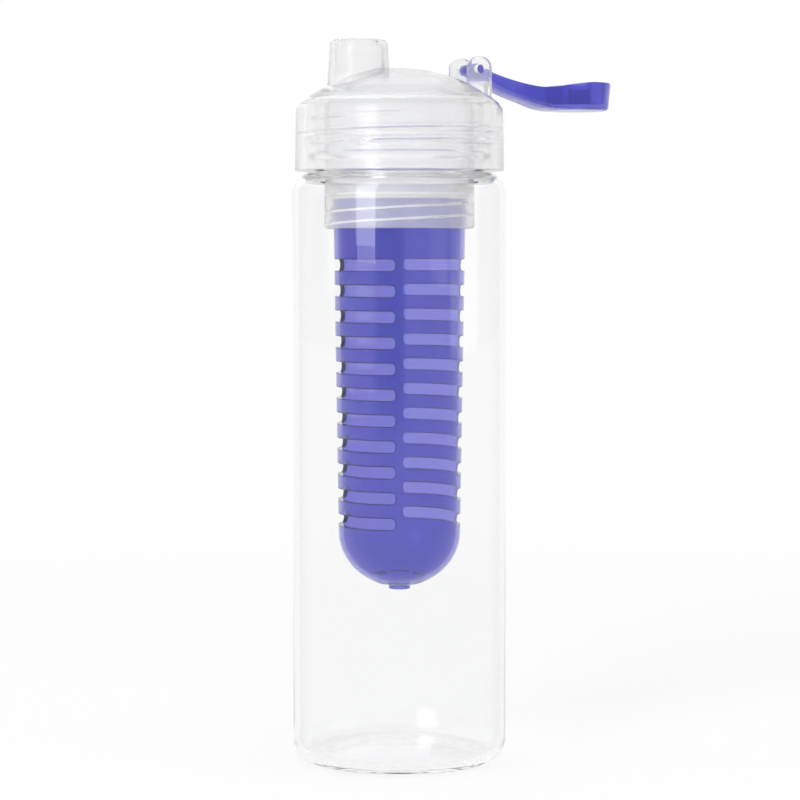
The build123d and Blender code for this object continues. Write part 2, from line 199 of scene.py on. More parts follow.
def draw_line(name: str, points: Sequence[Vector]) -> bpy.types.Object:
    """Draw a line through some points by extruding one vertex, and stay in edit mode on it.

    Args:
        name: Name of the new object.
        points: The points, in millimetres.

    Returns:
        The new object.
    """
    clear_selection()
    bpy.ops.mesh.primitive_plane_add(size=MM, location=points[0] * MM)
    piece = bpy.context.object
    piece.name = name
    place_in_mesh(piece)
    bpy.ops.object.mode_set(mode="EDIT")
    bpy.ops.mesh.select_mode(type="VERT")
    bpy.ops.mesh.select_all(action="SELECT")
    bpy.ops.mesh.merge(type="CENTER")
    for here, there in zip(points, points[1:]):
        bpy.ops.mesh.extrude_region_move(TRANSFORM_OT_translate={"value": (there - here) * MM})
    return piece


def turned(name: str, outline: Sequence[Ring], sides: int, axis_x: float = 0.0) -> bpy.types.Object:
    """Draw an outline by extruding one point and spin it into a closed solid.

    An outline whose ends both lie on the axis makes a full solid, and any other one is closed from
    its last point to its first and makes a ring.

    Args:
        name: Name of the new object.
        outline: Points of the outline, in order.
        sides: Number of steps of the full turn.
        axis_x: Place of the upright axis along X.

    Returns:
        The new object.
    """
    piece = draw_line(name, [Vector((axis_x + point.radius, 0, point.height)) for point in outline])
    if outline[0].radius or outline[-1].radius:
        shape = bmesh.from_edit_mesh(piece.data)
        for point in shape.verts:
            point.select = len(point.link_edges) == 1
        shape.select_flush_mode()
        bmesh.update_edit_mesh(piece.data)
        bpy.ops.mesh.edge_face_add()
    bpy.ops.mesh.select_all(action="SELECT")
    bpy.ops.mesh.spin(steps=sides, angle=math.tau, center=(axis_x * MM, 0, 0), axis=UP)
    close_mesh(piece)
    return piece


def upright_plane(name: str, from_x: float, to_x: float, height: float) -> bpy.types.Object:
    """Add an upright rectangle in the XZ plane about height 0, and stay in edit mode on it.

    Args:
        name: Name of the new object.
        from_x: Place of its first side along X.
        to_x: Place of its second side along X.
        height: Its height.

    Returns:
        The new object, with nothing selected in it.
    """
    clear_selection()
    middle = ((from_x + to_x) / 2 * MM, 0, 0)
    bpy.ops.mesh.primitive_plane_add(size=1.0, location=middle, rotation=(QUARTER, 0, 0))
    piece = bpy.context.object
    piece.name = name
    piece.scale = (abs(to_x - from_x) * MM, height * MM, 1)
    place_in_mesh(piece)
    edit(piece)
    return piece


def bar_along_y(
    name: str, radius: float, half: float, middle: tuple[float, float, float], sides: int
) -> bpy.types.Object:
    """Add a round bar along Y.

    Args:
        name: Name of the new object.
        radius: Its radius.
        half: Half its length.
        middle: Place of its middle.
        sides: Number of its sides.

    Returns:
        The new object.
    """
    clear_selection()
    bpy.ops.mesh.primitive_cylinder_add(
        vertices=sides,
        radius=radius * MM,
        depth=2 * half * MM,
        location=[place * MM for place in middle],
        rotation=(QUARTER, 0, 0),
    )
    piece = bpy.context.object
    piece.name = name
    place_in_mesh(piece)
    return piece


def spread(piece: bpy.types.Object, places: Sequence[tuple[float, float]]) -> bpy.types.Object:
    """Copy a piece to several places about the Z axis, as one object.

    Args:
        piece: The piece at height 0, which is used up.
        places: Height and turn in degrees of each copy.

    Returns:
        The copies as one object.
    """
    copies = []
    for height, degrees in places:
        copy = piece.copy()
        copy.data = piece.data.copy()
        bpy.context.collection.objects.link(copy)
        copy.location = (0, 0, height * MM)
        turn_about_z(copy, degrees)
        copies.append(copy)
    bpy.data.objects.remove(piece)
    make_active(copies[0])
    for copy in copies:
        copy.select_set(True)
    bpy.ops.object.join()
    return copies[0]


def combine(piece: bpy.types.Object, tool: bpy.types.Object, way: Joining) -> None:
    """Combine a piece with another solid, which is used up.

    Args:
        piece: Object that stays.
        tool: Object that is joined to it or cut from it.
        way: How the two are combined.
    """
    make_active(piece)
    step = piece.modifiers.new(way.name.lower(), "BOOLEAN")
    step.operation = way.value
    step.solver = "EXACT"
    step.material_mode = "TRANSFER" if tool.data.materials else "INDEX"
    step.object = tool
    bpy.ops.object.modifier_apply(modifier=step.name)
    bpy.data.objects.remove(tool)


def turn_about_z(piece: bpy.types.Object, degrees: float) -> None:
    """Turn a piece's mesh about the Z axis.

    Args:
        piece: The object.
        degrees: Angle, anticlockwise from above.
    """
    piece.rotation_euler = (0, 0, math.radians(degrees))
    place_in_mesh(piece)


def soften_edges(piece: bpy.types.Object, width: float, over_deg: float, steps: int = 2) -> None:
    """Round a piece's sharp edges a little.

    Args:
        piece: The object.
        width: Width of the rounding, in millimetres.
        over_deg: Only edges that turn by more than this angle are rounded.
        steps: Number of faces across the rounding.
    """
    make_active(piece)
    step = piece.modifiers.new("soft_edges", "BEVEL")
    step.width = width * MM
    step.segments = steps
    step.limit_method = "ANGLE"
    step.angle_limit = math.radians(over_deg)
    step.use_clamp_overlap = True
    bpy.ops.object.modifier_apply(modifier=step.name)


def finish_piece(piece: bpy.types.Object, body: Body, nodes: Sequence[str]) -> None:
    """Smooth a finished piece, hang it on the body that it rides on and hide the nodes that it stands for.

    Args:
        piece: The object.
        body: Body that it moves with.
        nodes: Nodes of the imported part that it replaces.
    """
    make_active(piece)
    bpy.ops.object.shade_smooth_by_angle(angle=math.radians(SMOOTH_DEG))
    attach(piece, body.value)
    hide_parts(*nodes)
    triangles = sum(len(face.vertices) - 2 for face in piece.data.polygons)
    LOG.info("%s: %d triangles on body %s", piece.name, triangles, body.value)


@dataclass
class ThreadRidge:
    """A helical ridge on a round wall, with both ends sloped back to the wall.

    It stands out from the wall by its depth, or inwards where the depth is negative.
    """

    wall_r: float
    depth: float
    base: float
    crest: float
    lead: float
    turns: float
    start_z: float
    start_deg: float
    sink: float = 0.4
    ramp_deg: float = 16.0
    steps_per_turn: int = 96

    @property
    def crest_r(self) -> float:
        """Distance of the crest from the axis."""
        return self.wall_r + self.depth

    def build(self, name: str) -> bpy.types.Object:
        """Model the ridge.

        Args:
            name: Name of the new object.

        Returns:
            The ridge as a closed solid.
        """
        root_r = self.wall_r - math.copysign(self.sink, self.depth)
        piece = upright_plane(name, root_r, self.crest_r, self.base)
        pick(piece, Part.EDGES, lambda low, high: self._on_crest(low) and self._on_crest(high))
        bpy.ops.transform.resize(value=(1, 1, self.crest / self.base), center_override=(0, 0, 0))
        bpy.ops.object.mode_set(mode="OBJECT")
        screw = piece.modifiers.new("helix", "SCREW")
        screw.angle = math.tau * self.turns
        screw.screw_offset = self.lead * self.turns * MM
        screw.steps = screw.render_steps = math.ceil(self.steps_per_turn * self.turns)
        screw.use_merge_vertices = False
        bpy.ops.object.modifier_apply(modifier=screw.name)
        self._slope_ends(piece)
        close_mesh(piece)
        piece.location = (0, 0, self.start_z * MM)
        turn_about_z(piece, self.start_deg)
        return piece

    def paint(self, piece: bpy.types.Object, main: bpy.types.Material, crest: bpy.types.Material) -> None:
        """Give the ridge one material and its crest another.

        Args:
            piece: The built ridge.
            main: Material of the ridge.
            crest: Material of the narrow face along its crest.
        """
        piece.data.materials.append(main)
        piece.data.materials.append(crest)
        for face in piece.data.polygons:
            face.material_index = int(self._on_crest(face.center / MM))

    def _on_crest(self, place: Vector) -> bool:
        """Whether a place, in millimetres, is as far from the axis as the crest."""
        return abs(math.hypot(place.x, place.y) - self.crest_r) < abs(self.depth) / 4

    def _slope_ends(self, piece: bpy.types.Object) -> None:
        """Draw the crest back to the wall, step by step, over the ramp at each end.

        Args:
            piece: The ridge, with its start at height 0 and on the +X side.
        """
        edit(piece)
        shape = bmesh.from_edit_mesh(piece.data)
        length = self.lead * self.turns
        ramp = self.lead * self.ramp_deg / 360
        for point in shape.verts:
            place = point.co / MM
            if not self._on_crest(place):
                continue
            along = self._height_at(math.atan2(place.y, place.x), place.z)
            share = min(1.0, along / ramp, (length - along) / ramp)
            if share < 1.0:
                kept = (self.wall_r + self.depth * max(share, 0.0)) / math.hypot(place.x, place.y)
                point.co.x *= kept
                point.co.y *= kept
        bmesh.update_edit_mesh(piece.data)
        bpy.ops.object.mode_set(mode="OBJECT")

    def _height_at(self, angle: float, height: float) -> float:
        """Height of the helix's middle where it passes one angle nearest to a height."""
        part = self.lead * (angle % math.tau) / math.tau
        return part + self.lead * round((height - part) / self.lead)


@dataclass
class SlotCutter:
    """A solid that follows an arc about the Z axis, with its ends rounded in height."""

    inner_r: float
    outer_r: float
    height: float
    arc_deg: float
    steps: int = 28
    round_steps: int = 8
    round_share: float = 0.49

    def build(self, name: str) -> bpy.types.Object:
        """Model the cutter about height 0, centred on the +X side.

        Args:
            name: Name of the new object.

        Returns:
            The cutter as a closed solid.
        """
        piece = upright_plane(name, self.inner_r, self.outer_r, self.height)
        bpy.ops.mesh.select_all(action="SELECT")
        bpy.ops.mesh.delete(type="ONLY_FACE")
        bpy.ops.mesh.select_all(action="SELECT")
        bpy.ops.mesh.spin(steps=self.steps, angle=math.radians(self.arc_deg), center=(0, 0, 0), axis=UP)
        close_mesh(piece)
        far = max((point.co for point in piece.data.vertices), key=lambda co: abs(math.atan2(co.y, co.x)))
        last = math.atan2(far.y, far.x)
        if self.round_steps:
            edit(piece)
            ends = (0.0, last)
            pick(piece, Part.EDGES, lambda low, high: any(self._is_end(low, high, end) for end in ends))
            bpy.ops.mesh.bevel(
                offset=self.height * MM * self.round_share,
                segments=self.round_steps,
                affect="EDGES",
                clamp_overlap=False,
            )
            bpy.ops.object.mode_set(mode="OBJECT")
        turn_about_z(piece, -math.degrees(last) / 2)
        return piece

    def _is_end(self, low: Vector, high: Vector, angle: float) -> bool:
        """Whether an edge is one of the straight ones across the wall at one end.

        Args:
            low: First end of the edge.
            high: Second end of the edge.
            angle: Angle of the cutter's end about the axis.

        Returns:
            True if the edge goes across the wall there.
        """
        near = math.radians(self.arc_deg / self.steps / 4)
        depth = abs(math.hypot(low.x, low.y) - math.hypot(high.x, high.y))
        at_end = all(abs(math.atan2(end.y, end.x) - angle) < near for end in (low, high))
        return at_end and depth > (self.outer_r - self.inner_r) / 2


@dataclass
class Bottle:
    """Clear one-piece bottle: pushed-up base, rounded shoulder, support bead and neck thread."""

    body_r: float = 36.75
    body_h: float = 202.3
    wall: float = 2.0
    foot_round: float = 6.5
    shoulder_round: float = 7.0
    foot_width: float = 5.0
    push_up: float = 4.5
    base_wall: float = 2.6
    neck_r: float = 29.15
    neck_bore_r: float = 27.3
    neck_h: float = 22.7
    root_round: float = 1.2
    rim_round: float = 0.6
    bead_r: float = 31.35
    bead_z: float = 207.0
    bead_w: float = 1.7
    thread_rise: float = 8.7
    sides: int = 160
    round_steps: int = 10
    shoulder_steps: int = 12
    inner_foot_steps: int = 8
    root_steps: int = 6
    rim_steps: int = 4

    def build(self) -> bpy.types.Object:
        """Model the bottle with its thread.

        Returns:
            The finished bottle.
        """
        piece = turned("bottle", self._outside() + self._inside(), self.sides)
        thread = ThreadRidge(
            wall_r=self.neck_r,
            depth=1.3,
            base=1.8,
            crest=0.8,
            lead=4.0,
            turns=2.6,
            start_z=self.body_h + self.thread_rise,
            start_deg=35.0,
        )
        combine(piece, thread.build("neck_thread"), Joining.UNION)
        piece.data.materials.append(CLEAR_PLASTIC.material())
        finish_piece(piece, Body.BOTTLE, ["bottle_body"])
        return piece

    def _push_up_ball(self) -> Ring:
        """Find the ball that the base is pushed up by.

        Returns:
            Its radius and the height of its centre.
        """
        push_r = self.body_r - self.foot_round - self.foot_width
        ball_r = (push_r**2 + self.push_up**2) / (2 * self.push_up)
        return Ring(ball_r, self.push_up - ball_r)

    def _outside(self) -> list[Ring]:
        """Draw the outside.

        Returns:
            Outline from the middle of the base up to the rim.
        """
        ball = self._push_up_ball()
        foot_r = self.body_r - self.foot_round
        edge_deg = math.degrees(math.acos((foot_r - self.foot_width) / ball.radius))
        outline = [Ring(0, self.push_up)]
        outline += arc(Ring(0, ball.height), ball.radius, 90, edge_deg, self.round_steps)[1:]
        outline += arc(Ring(foot_r, self.foot_round), self.foot_round, -90, 0, self.round_steps)
        shoulder = Ring(self.body_r - self.shoulder_round, self.body_h - self.shoulder_round)
        root_r = self.neck_r + self.root_round
        reach = self.shoulder_round + self.root_round
        rise = math.sqrt(reach**2 - (root_r - shoulder.radius) ** 2)
        touch_deg = math.degrees(math.atan2(rise, root_r - shoulder.radius))
        outline += arc(shoulder, self.shoulder_round, 0, touch_deg, self.shoulder_steps)
        root = Ring(root_r, shoulder.height + rise)
        outline += arc(root, self.root_round, touch_deg - 180, -180, self.root_steps)[1:]
        outline += self._bead()
        rim_z = self.body_h + self.neck_h - self.rim_round
        rim = Ring(self.neck_r - self.rim_round, rim_z)
        return outline + arc(rim, self.rim_round, 0, 90, self.rim_steps)

    def _bead(self) -> list[Ring]:
        """Draw the support bead on the neck, with softened corners.

        Returns:
            Its outline, from below.
        """
        low, high = self.bead_z + self.bead_w / 4, self.bead_z + self.bead_w
        soft = self.bead_w / 5
        return [
            Ring(self.neck_r, self.bead_z - self.bead_w / 2.6),
            Ring(self.bead_r - soft, low - soft / 2),
            Ring(self.bead_r - soft / 4, low + soft / 6),
            Ring(self.bead_r, low + soft),
            Ring(self.bead_r, high - soft),
            Ring(self.bead_r - soft / 4, high - soft / 6),
            Ring(self.bead_r - soft, high + soft / 4),
            Ring(self.neck_r, high + self.bead_w / 2.4),
        ]

    def _inside(self) -> list[Ring]:
        """Draw the inside.

        Returns:
            Outline from the rim down to the middle of the floor.
        """
        rim_z = self.body_h + self.neck_h - self.rim_round
        bore = self.body_r - self.wall
        shoulder_round = self.shoulder_round - self.wall
        foot_round = self.foot_round - self.wall
        ceiling = self.body_h - self.wall
        edge_r = self.neck_bore_r + self.rim_round
        rim, root = Ring(edge_r, rim_z), Ring(edge_r, ceiling + self.rim_round)
        shoulder = Ring(bore - shoulder_round, ceiling - shoulder_round)
        foot = Ring(bore - foot_round, self.base_wall + foot_round)
        outline = arc(rim, self.rim_round, 90, 180, self.rim_steps)
        outline += arc(root, self.rim_round, 180, 270, self.rim_steps)
        outline += arc(shoulder, shoulder_round, 90, 0, self.round_steps)
        outline += arc(foot, foot_round, 0, -90, self.inner_foot_steps)
        ball = self._push_up_ball()
        inner_r = ball.radius + self.base_wall
        edge_deg = math.degrees(math.asin((self.base_wall - ball.height) / inner_r))
        outline += arc(Ring(0, ball.height), inner_r, edge_deg, 90, self.round_steps)
        return outline[:-1] + [Ring(0, self.push_up + self.base_wall)]


@dataclass
class ScrewLid:
    """Frosted lid: skirt with its thread, dome, spout, hinge ears and the collar for the infuser."""

    foot_r: float = 35.95
    edge_r: float = 35.6
    foot_z: float = 202.8
    edge_z: float = 224.7
    crown_z: float = 238.1
    corner_round: float = 2.75
    foot_round: float = 0.5
    skirt_bore_r: float = 32.2
    seat_r: float = 30.95
    seat_z: float = 226.6
    dome_wall: float = 1.9
    collar_r: float = 25.8
    collar_bore_r: float = 24.3
    collar_z: float = 183.1
    collar_round: float = 1.0
    ledge_r: float = 21.8
    ledge_z: float = 194.5
    ledge_h: float = 0.8
    ledge_slope_h: float = 2.84
    spout_x: float = -15.6
    spout_low_r: float = 10.9
    spout_top_r: float = 9.8
    spout_z: float = 246.9
    spout_round: float = 1.2
    spout_bore_r: float = 8.1
    spout_plate: float = 1.8
    drink_hole_r: float = 5.8
    pin_x: float = 27.9
    pin_z: float = 238.3
    pin_hole_r: float = 1.57
    ear_r: float = 4.4
    ear_t: float = 3.0
    ear_inner_y: float = 4.8
    ear_foot_z: float = 224.76
    ear_round: float = 0.5
    web_low_x: float = 30.1
    web_t: float = 1.8
    web_top_z: float = 234.23
    overrun: float = 2.0
    corner_drop: float = 1.815
    dome_end_deg: float = 2.3
    corner_start_deg: float = 6.0
    sides: int = 144
    spout_sides: tuple[int, int] = (96, 72)
    hinge_sides: tuple[int, int] = (64, 48)
    dome_steps: int = 24
    room_steps: int = 16
    round_steps: int = 6
    foot_steps: int = 4

    @property
    def dome_r(self) -> float:
        """Radius of the dome's ball."""
        rise = self.crown_z - self.edge_z
        return (self.edge_r**2 + rise**2) / (2 * rise)

    def dome_z(self, radius: float, inset: float = 0.0) -> float:
        """Height of the dome at one distance from the axis.

        Args:
            radius: Distance from the Z axis.
            inset: How far the surface lies inside the dome's outside.

        Returns:
            The height.
        """
        return self.crown_z - self.dome_r + math.sqrt((self.dome_r - inset) ** 2 - radius**2)

    def build(self) -> bpy.types.Object:
        """Model the lid.

        Returns:
            The finished lid.
        """
        piece = turned("screw_lid_shell", self._outside(), self.sides)
        piece.data.materials.append(FROSTED_PLASTIC.material())
        for tool in (self._spout(), self._ear(-1), self._ear(1), self._web()):
            combine(piece, tool, Joining.UNION)
        collar_room = turned("collar_room", self._core(), self.sides)
        spout_room = turned("spout_room", self._spout_room(), self.spout_sides[1], self.spout_x)
        for tool in (collar_room, spout_room, self._pin_hole()):
            combine(piece, tool, Joining.CUT)
        for ridge in self._ridges():
            combine(piece, ridge, Joining.UNION)
        self._whiten_ledge(piece)
        finish_piece(piece, Body.LID, ["screw_lid"])
        return piece

    def _whiten_ledge(self, piece: bpy.types.Object) -> None:
        """Give the collar's ledge, a thick place where the plastic looks milky, its own finish.

        Args:
            piece: The lid, which already has that finish on its ridges' crests, where it is a painted
                highlight.
        """
        slot = piece.data.materials.find(LEDGE_WHITE_AND_CREST_HIGHLIGHT.name)
        low_z, top_z = self.ledge_z - NEAR, self.ledge_z + self.ledge_h + self.ledge_slope_h
        for face in piece.data.polygons:
            middle = face.center / MM
            inside = math.hypot(middle.x, middle.y) < self.collar_bore_r - NEAR
            if inside and low_z < middle.z < top_z:
                face.material_index = slot

    def _outside(self) -> list[Ring]:
        """Draw the outside.

        Returns:
            Outline from the crown down the skirt, up round its room and down the collar.
        """
        corner = Ring(self.edge_r - self.corner_round, self.edge_z - self.corner_drop)
        dome_centre = Ring(0, self.crown_z - self.dome_r)
        meet_deg = math.degrees(math.atan2(self.edge_z - dome_centre.height, self.edge_r))
        outline = [Ring(0, self.crown_z)]
        outline += arc(dome_centre, self.dome_r, 90, meet_deg + self.dome_end_deg, self.dome_steps)[1:]
        outline += arc(corner, self.corner_round, meet_deg - self.corner_start_deg, 0, self.round_steps)[1:]
        foot = Ring(self.foot_r - self.foot_round, self.foot_z + self.foot_round)
        outline += arc(foot, self.foot_round, 0, -90, self.foot_steps)
        step_z = self.edge_z - self.foot_round
        outline += [Ring(self.skirt_bore_r, self.foot_z), Ring(self.skirt_bore_r, step_z)]
        outline += [
            Ring(self.seat_r, step_z),
            Ring(self.seat_r, self.seat_z),
            Ring(self.collar_r, self.seat_z),
        ]
        collar_foot = Ring(self.collar_r - self.collar_round, self.collar_z + self.collar_round)
        outline += arc(collar_foot, self.collar_round, 0, -90, self.round_steps)
        return outline + [Ring(0, self.collar_z)]

    def _core(self) -> list[Ring]:
        """Draw the room inside the collar.

        Returns:
            Outline from the dome down past the collar's foot.
        """
        inner_r = self.dome_r - self.dome_wall
        edge_deg = math.degrees(math.acos(self.collar_bore_r / inner_r))
        outline = [Ring(0, self.crown_z - self.dome_wall)]
        outline += arc(Ring(0, self.crown_z - self.dome_r), inner_r, 90, edge_deg, self.room_steps)[1:]
        return outline + [
            Ring(self.collar_bore_r, self.ledge_z + self.ledge_h + self.ledge_slope_h),
            Ring(self.ledge_r, self.ledge_z + self.ledge_h),
            Ring(self.ledge_r, self.ledge_z),
            Ring(self.collar_bore_r, self.ledge_z),
            Ring(self.collar_bore_r, self.collar_z - self.overrun),
            Ring(0, self.collar_z - self.overrun),
        ]

    def _spout(self) -> bpy.types.Object:
        """Model the tapered outside of the spout, with a rounded top edge.

        Returns:
            The spout, still full.
        """
        low_z = self.dome_z(self.spout_low_r - self.spout_x) - self.dome_wall
        outline = [Ring(0, low_z), Ring(self.spout_low_r, low_z)]
        top = Ring(self.spout_top_r - self.spout_round, self.spout_z - self.spout_round)
        outline += arc(top, self.spout_round, 0, 90, self.round_steps)
        return turned("spout", outline + [Ring(0, self.spout_z)], self.spout_sides[0], self.spout_x)

    def _spout_room(self) -> list[Ring]:
        """Draw the bore under the spout's end and the drink hole through it.

        Returns:
            Outline of both, from below.
        """
        low_z = self.dome_z(self.collar_bore_r, self.dome_wall) - self.dome_wall
        plate_z = self.spout_z - self.spout_plate
        hole_r, soft = self.drink_hole_r, self.foot_round
        return [
            Ring(0, low_z),
            Ring(self.spout_bore_r, low_z),
            Ring(self.spout_bore_r, plate_z),
            Ring(hole_r, plate_z),
            Ring(hole_r, self.spout_z - soft),
            Ring(hole_r + soft / 3, self.spout_z - soft / 3),
            Ring(hole_r + soft, self.spout_z),
            Ring(hole_r + soft, self.spout_z + soft),
            Ring(0, self.spout_z + soft),
        ]

    def _ear(self, side: int) -> bpy.types.Object:
        """Model one hinge ear: a round plate, halved at the pin's height and drawn down to the dome.

        Args:
            side: 1 for the ear on the +Y side and -1 for the other one.

        Returns:
            The ear.
        """
        middle = (self.pin_x, side * (self.ear_inner_y + self.ear_t / 2), self.pin_z)
        ear = bar_along_y("ear", self.ear_r, self.ear_t / 2, middle, self.hinge_sides[0])
        edit(ear)
        bpy.ops.mesh.select_all(action="SELECT")
        cut = [place * MM for place in middle]
        bpy.ops.mesh.bisect(plane_co=cut, plane_no=UP, clear_inner=True, use_fill=True)
        bpy.ops.mesh.select_all(action="DESELECT")
        near = NEAR / 2
        pick(ear, Part.FACES, lambda place, normal: abs(place.z - self.pin_z) < near and abs(normal.z) > 0.9)
        drop = (self.ear_foot_z - self.pin_z) * MM
        bpy.ops.mesh.extrude_region_move(TRANSFORM_OT_translate={"value": (0, 0, drop)})
        bpy.ops.object.mode_set(mode="OBJECT")
        close_mesh(ear)
        soften_edges(ear, self.ear_round, over_deg=50, steps=3)
        return ear

    def _web(self) -> bpy.types.Object:
        """Model the low web between the ears that the open arm rests on.

        Returns:
            The web.
        """
        clear_selection()
        wide, tall = 2 * self.ear_inner_y + self.ear_t, self.web_top_z - self.ear_foot_z
        bpy.ops.mesh.primitive_cube_add(
            size=1.0,
            location=((self.web_low_x + self.web_t / 2) * MM, 0, (self.ear_foot_z + tall / 2) * MM),
            scale=(self.web_t * MM, wide * MM, tall * MM),
        )
        web = bpy.context.object
        place_in_mesh(web)
        edit(web)
        top_z = self.web_top_z - NEAR
        pick(web, Part.EDGES, lambda low, high: min(low.z, high.z) > top_z and abs(low.x - high.x) < NEAR)
        bpy.ops.mesh.bevel(offset=self.web_t * MM / 3, segments=4, affect="EDGES")
        bpy.ops.object.mode_set(mode="OBJECT")
        return web

    def _pin_hole(self) -> bpy.types.Object:
        """Model the cutter for the holes in both ears.

        Returns:
            The cutter.
        """
        half = self.ear_inner_y + self.ear_t + self.overrun
        middle = (self.pin_x, 0, self.pin_z)
        return bar_along_y("pin_hole", self.pin_hole_r, half, middle, self.hinge_sides[1])

    def _ridges(self) -> list[bpy.types.Object]:
        """Model the ridge inside the skirt and the pair of ridges inside the collar.

        Returns:
            The three ridges.
        """
        skirt = ThreadRidge(
            wall_r=self.skirt_bore_r,
            depth=-2.45,
            base=2.2,
            crest=1.0,
            lead=4.0,
            turns=1.6,
            start_z=211.5,
            start_deg=215.0,
        )
        ridges = [skirt.build("skirt_thread")]
        for start_deg in COLLAR_STARTS_DEG:
            ridge = ThreadRidge(
                wall_r=self.collar_bore_r,
                depth=-0.8,
                base=1.2,
                crest=0.6,
                lead=8.0,
                turns=0.95,
                start_z=184.3,
                start_deg=start_deg,
            )
            ridges.append(ridge.build("collar_thread"))
            # The crest face gets the whiter finish, a painted highlight line along each collar thread.
            ridge.paint(ridges[-1], FROSTED_PLASTIC.material(), LEDGE_WHITE_AND_CREST_HIGHLIGHT.material())
        return ridges


@dataclass
class SoftRing:
    """Flat silicone ring with rounded edges."""

    name: str
    body: Body
    node: str
    inner_r: float
    outer_r: float
    low_z: float
    high_z: float
    edge_round: float = 0.35
    sides: int = 128
    round_steps: int = 4

    def build(self) -> bpy.types.Object:
        """Model the ring.

        Returns:
            The finished ring.
        """
        soft = self.edge_round
        in_r, out_r = self.inner_r + soft, self.outer_r - soft
        low, high = self.low_z + soft, self.high_z - soft
        corners = (Ring(out_r, low), Ring(out_r, high), Ring(in_r, high), Ring(in_r, low))
        outline: list[Ring] = []
        for number, middle in enumerate(corners):
            outline += arc(middle, soft, 90 * number - 90, 90 * number, self.round_steps)
        piece = turned(self.name, outline, self.sides)
        piece.data.materials.append(SILICONE.material())
        finish_piece(piece, self.body, [self.node])
        return piece


@dataclass
class Infuser:
    """Tinted infuser tube: threaded top, two columns of slots, drain slits and a foot ring."""

    top_z: float = 193.2
    tip_z: float = 58.8
    low_r: float = 21.05
    top_r: float = 22.65
    neck_r: float = 23.1
    neck_low_z: float = 183.85
    neck_step: float = 0.45
    wall: float = 1.6
    round_rise: float = 19.9
    ring_h: float = 0.8
    ring_r: float = 3.75
    ring_bore_r: float = 2.75
    slot_count: int = 11
    slot_h: float = 3.9
    slot_pitch: float = 8.75
    slot_drop: float = 22.5
    slot_arc_deg: float = 109.0
    slot_middle_deg: float = 4.0
    # Painted shade: a deeper strip on the side facing the camera, full above one height and gone below
    # another.
    front_shade_deg: float = 233.5
    front_shade_full_z: float = 138.0
    front_shade_fade_z: float = 98.0
    drain_count: int = 6
    drain_r: float = 8.7
    drain_w: float = 1.0
    drain_arc_deg: float = 48.0
    drain_start_deg: float = 241.0
    overrun: float = 2.0
    sides: int = 144
    ring_sides: int = 48
    round_steps: int = 14
    rim_steps: int = 3

    def build(self) -> bpy.types.Object:
        """Model the infuser.

        Returns:
            The finished infuser.
        """
        piece = turned("infuser", self._outline(), self.sides)
        combine(piece, self._foot_ring(), Joining.UNION)
        combine(piece, self._slots(), Joining.CUT)
        combine(piece, self._drains(), Joining.CUT)
        for start_deg in COLLAR_STARTS_DEG:
            ridge = ThreadRidge(
                wall_r=self.neck_r,
                depth=0.8,
                base=1.2,
                crest=0.6,
                lead=8.0,
                turns=0.85,
                start_z=185.5,
                start_deg=start_deg,
            )
            combine(piece, ridge.build("infuser_thread"), Joining.UNION)
        piece.data.materials.append(TINTED_INFUSER.material())
        finish_piece(piece, Body.INFUSER, ["infuser_basket"])
        return piece

    def _round_end(self, inset: float) -> list[Ring]:
        """Draw a quarter of the oval at the bottom.

        Args:
            inset: How far it lies inside the outside.

        Returns:
            Its outline, from the axis out to the tube.
        """
        round_z = self.tip_z + self.round_rise
        tall = self.round_rise - self.ring_h - inset
        outline = []
        for step in range(self.round_steps + 1):
            turn = math.pi / 2 * step / self.round_steps
            outline.append(Ring((self.low_r - inset) * math.sin(turn), round_z - tall * math.cos(turn)))
        return outline

    def _outline(self) -> list[Ring]:
        """Draw the tube's wall.

        Returns:
            Outline from the tip up the outside and down the inside.
        """
        step_z = self.neck_low_z - self.neck_step
        soft = self.wall / 4
        inner_r = self.neck_r - self.wall
        outline = self._round_end(0) + [Ring(self.top_r, step_z), Ring(self.neck_r, self.neck_low_z)]
        outline += arc(Ring(self.neck_r - soft, self.top_z - soft), soft, 0, 90, self.rim_steps)
        outline += arc(Ring(inner_r + soft, self.top_z - soft), soft, 90, 180, self.rim_steps)
        outline += [Ring(inner_r, self.neck_low_z), Ring(self.top_r - self.wall, step_z)]
        return outline + self._round_end(self.wall)[::-1]

    def _foot_ring(self) -> bpy.types.Object:
        """Model the small ring under the tip.

        Returns:
            The ring.
        """
        high_z = self.tip_z + self.ring_h + self.wall / 2
        soft = self.ring_h / 4
        outline = [Ring(self.ring_bore_r, high_z), Ring(self.ring_bore_r, self.tip_z + soft)]
        outline += [Ring(self.ring_bore_r + soft, self.tip_z), Ring(self.ring_r - soft, self.tip_z)]
        outline += [Ring(self.ring_r, self.tip_z + soft), Ring(self.ring_r, high_z)]
        return turned("foot_ring", outline, self.ring_sides)

    def _slots(self) -> bpy.types.Object:
        """Model the cutters for both columns of slots.

        Returns:
            All of them as one object.
        """
        cutter = SlotCutter(self.top_r / 2, self.top_r + self.overrun, self.slot_h, self.slot_arc_deg)
        rows = [self.top_z - self.slot_drop - row * self.slot_pitch for row in range(self.slot_count)]
        columns = (self.slot_middle_deg, self.slot_middle_deg + 180)
        return spread(cutter.build("slot"), [(row, column) for row in rows for column in columns])

    def _drains(self) -> bpy.types.Object:
        """Model the cutters for the slits in the round end.

        Returns:
            All of them as one object.
        """
        half = self.drain_w / 2
        cutter = SlotCutter(
            inner_r=self.drain_r - half,
            outer_r=self.drain_r + half,
            height=self.round_rise,
            arc_deg=self.drain_arc_deg,
            steps=12,
            round_steps=0,
        )
        middle_z = self.tip_z + self.round_rise / 2
        turns = [self.drain_start_deg + 360 * number / self.drain_count for number in range(self.drain_count)]
        return spread(cutter.build("drain"), [(middle_z, turn) for turn in turns])


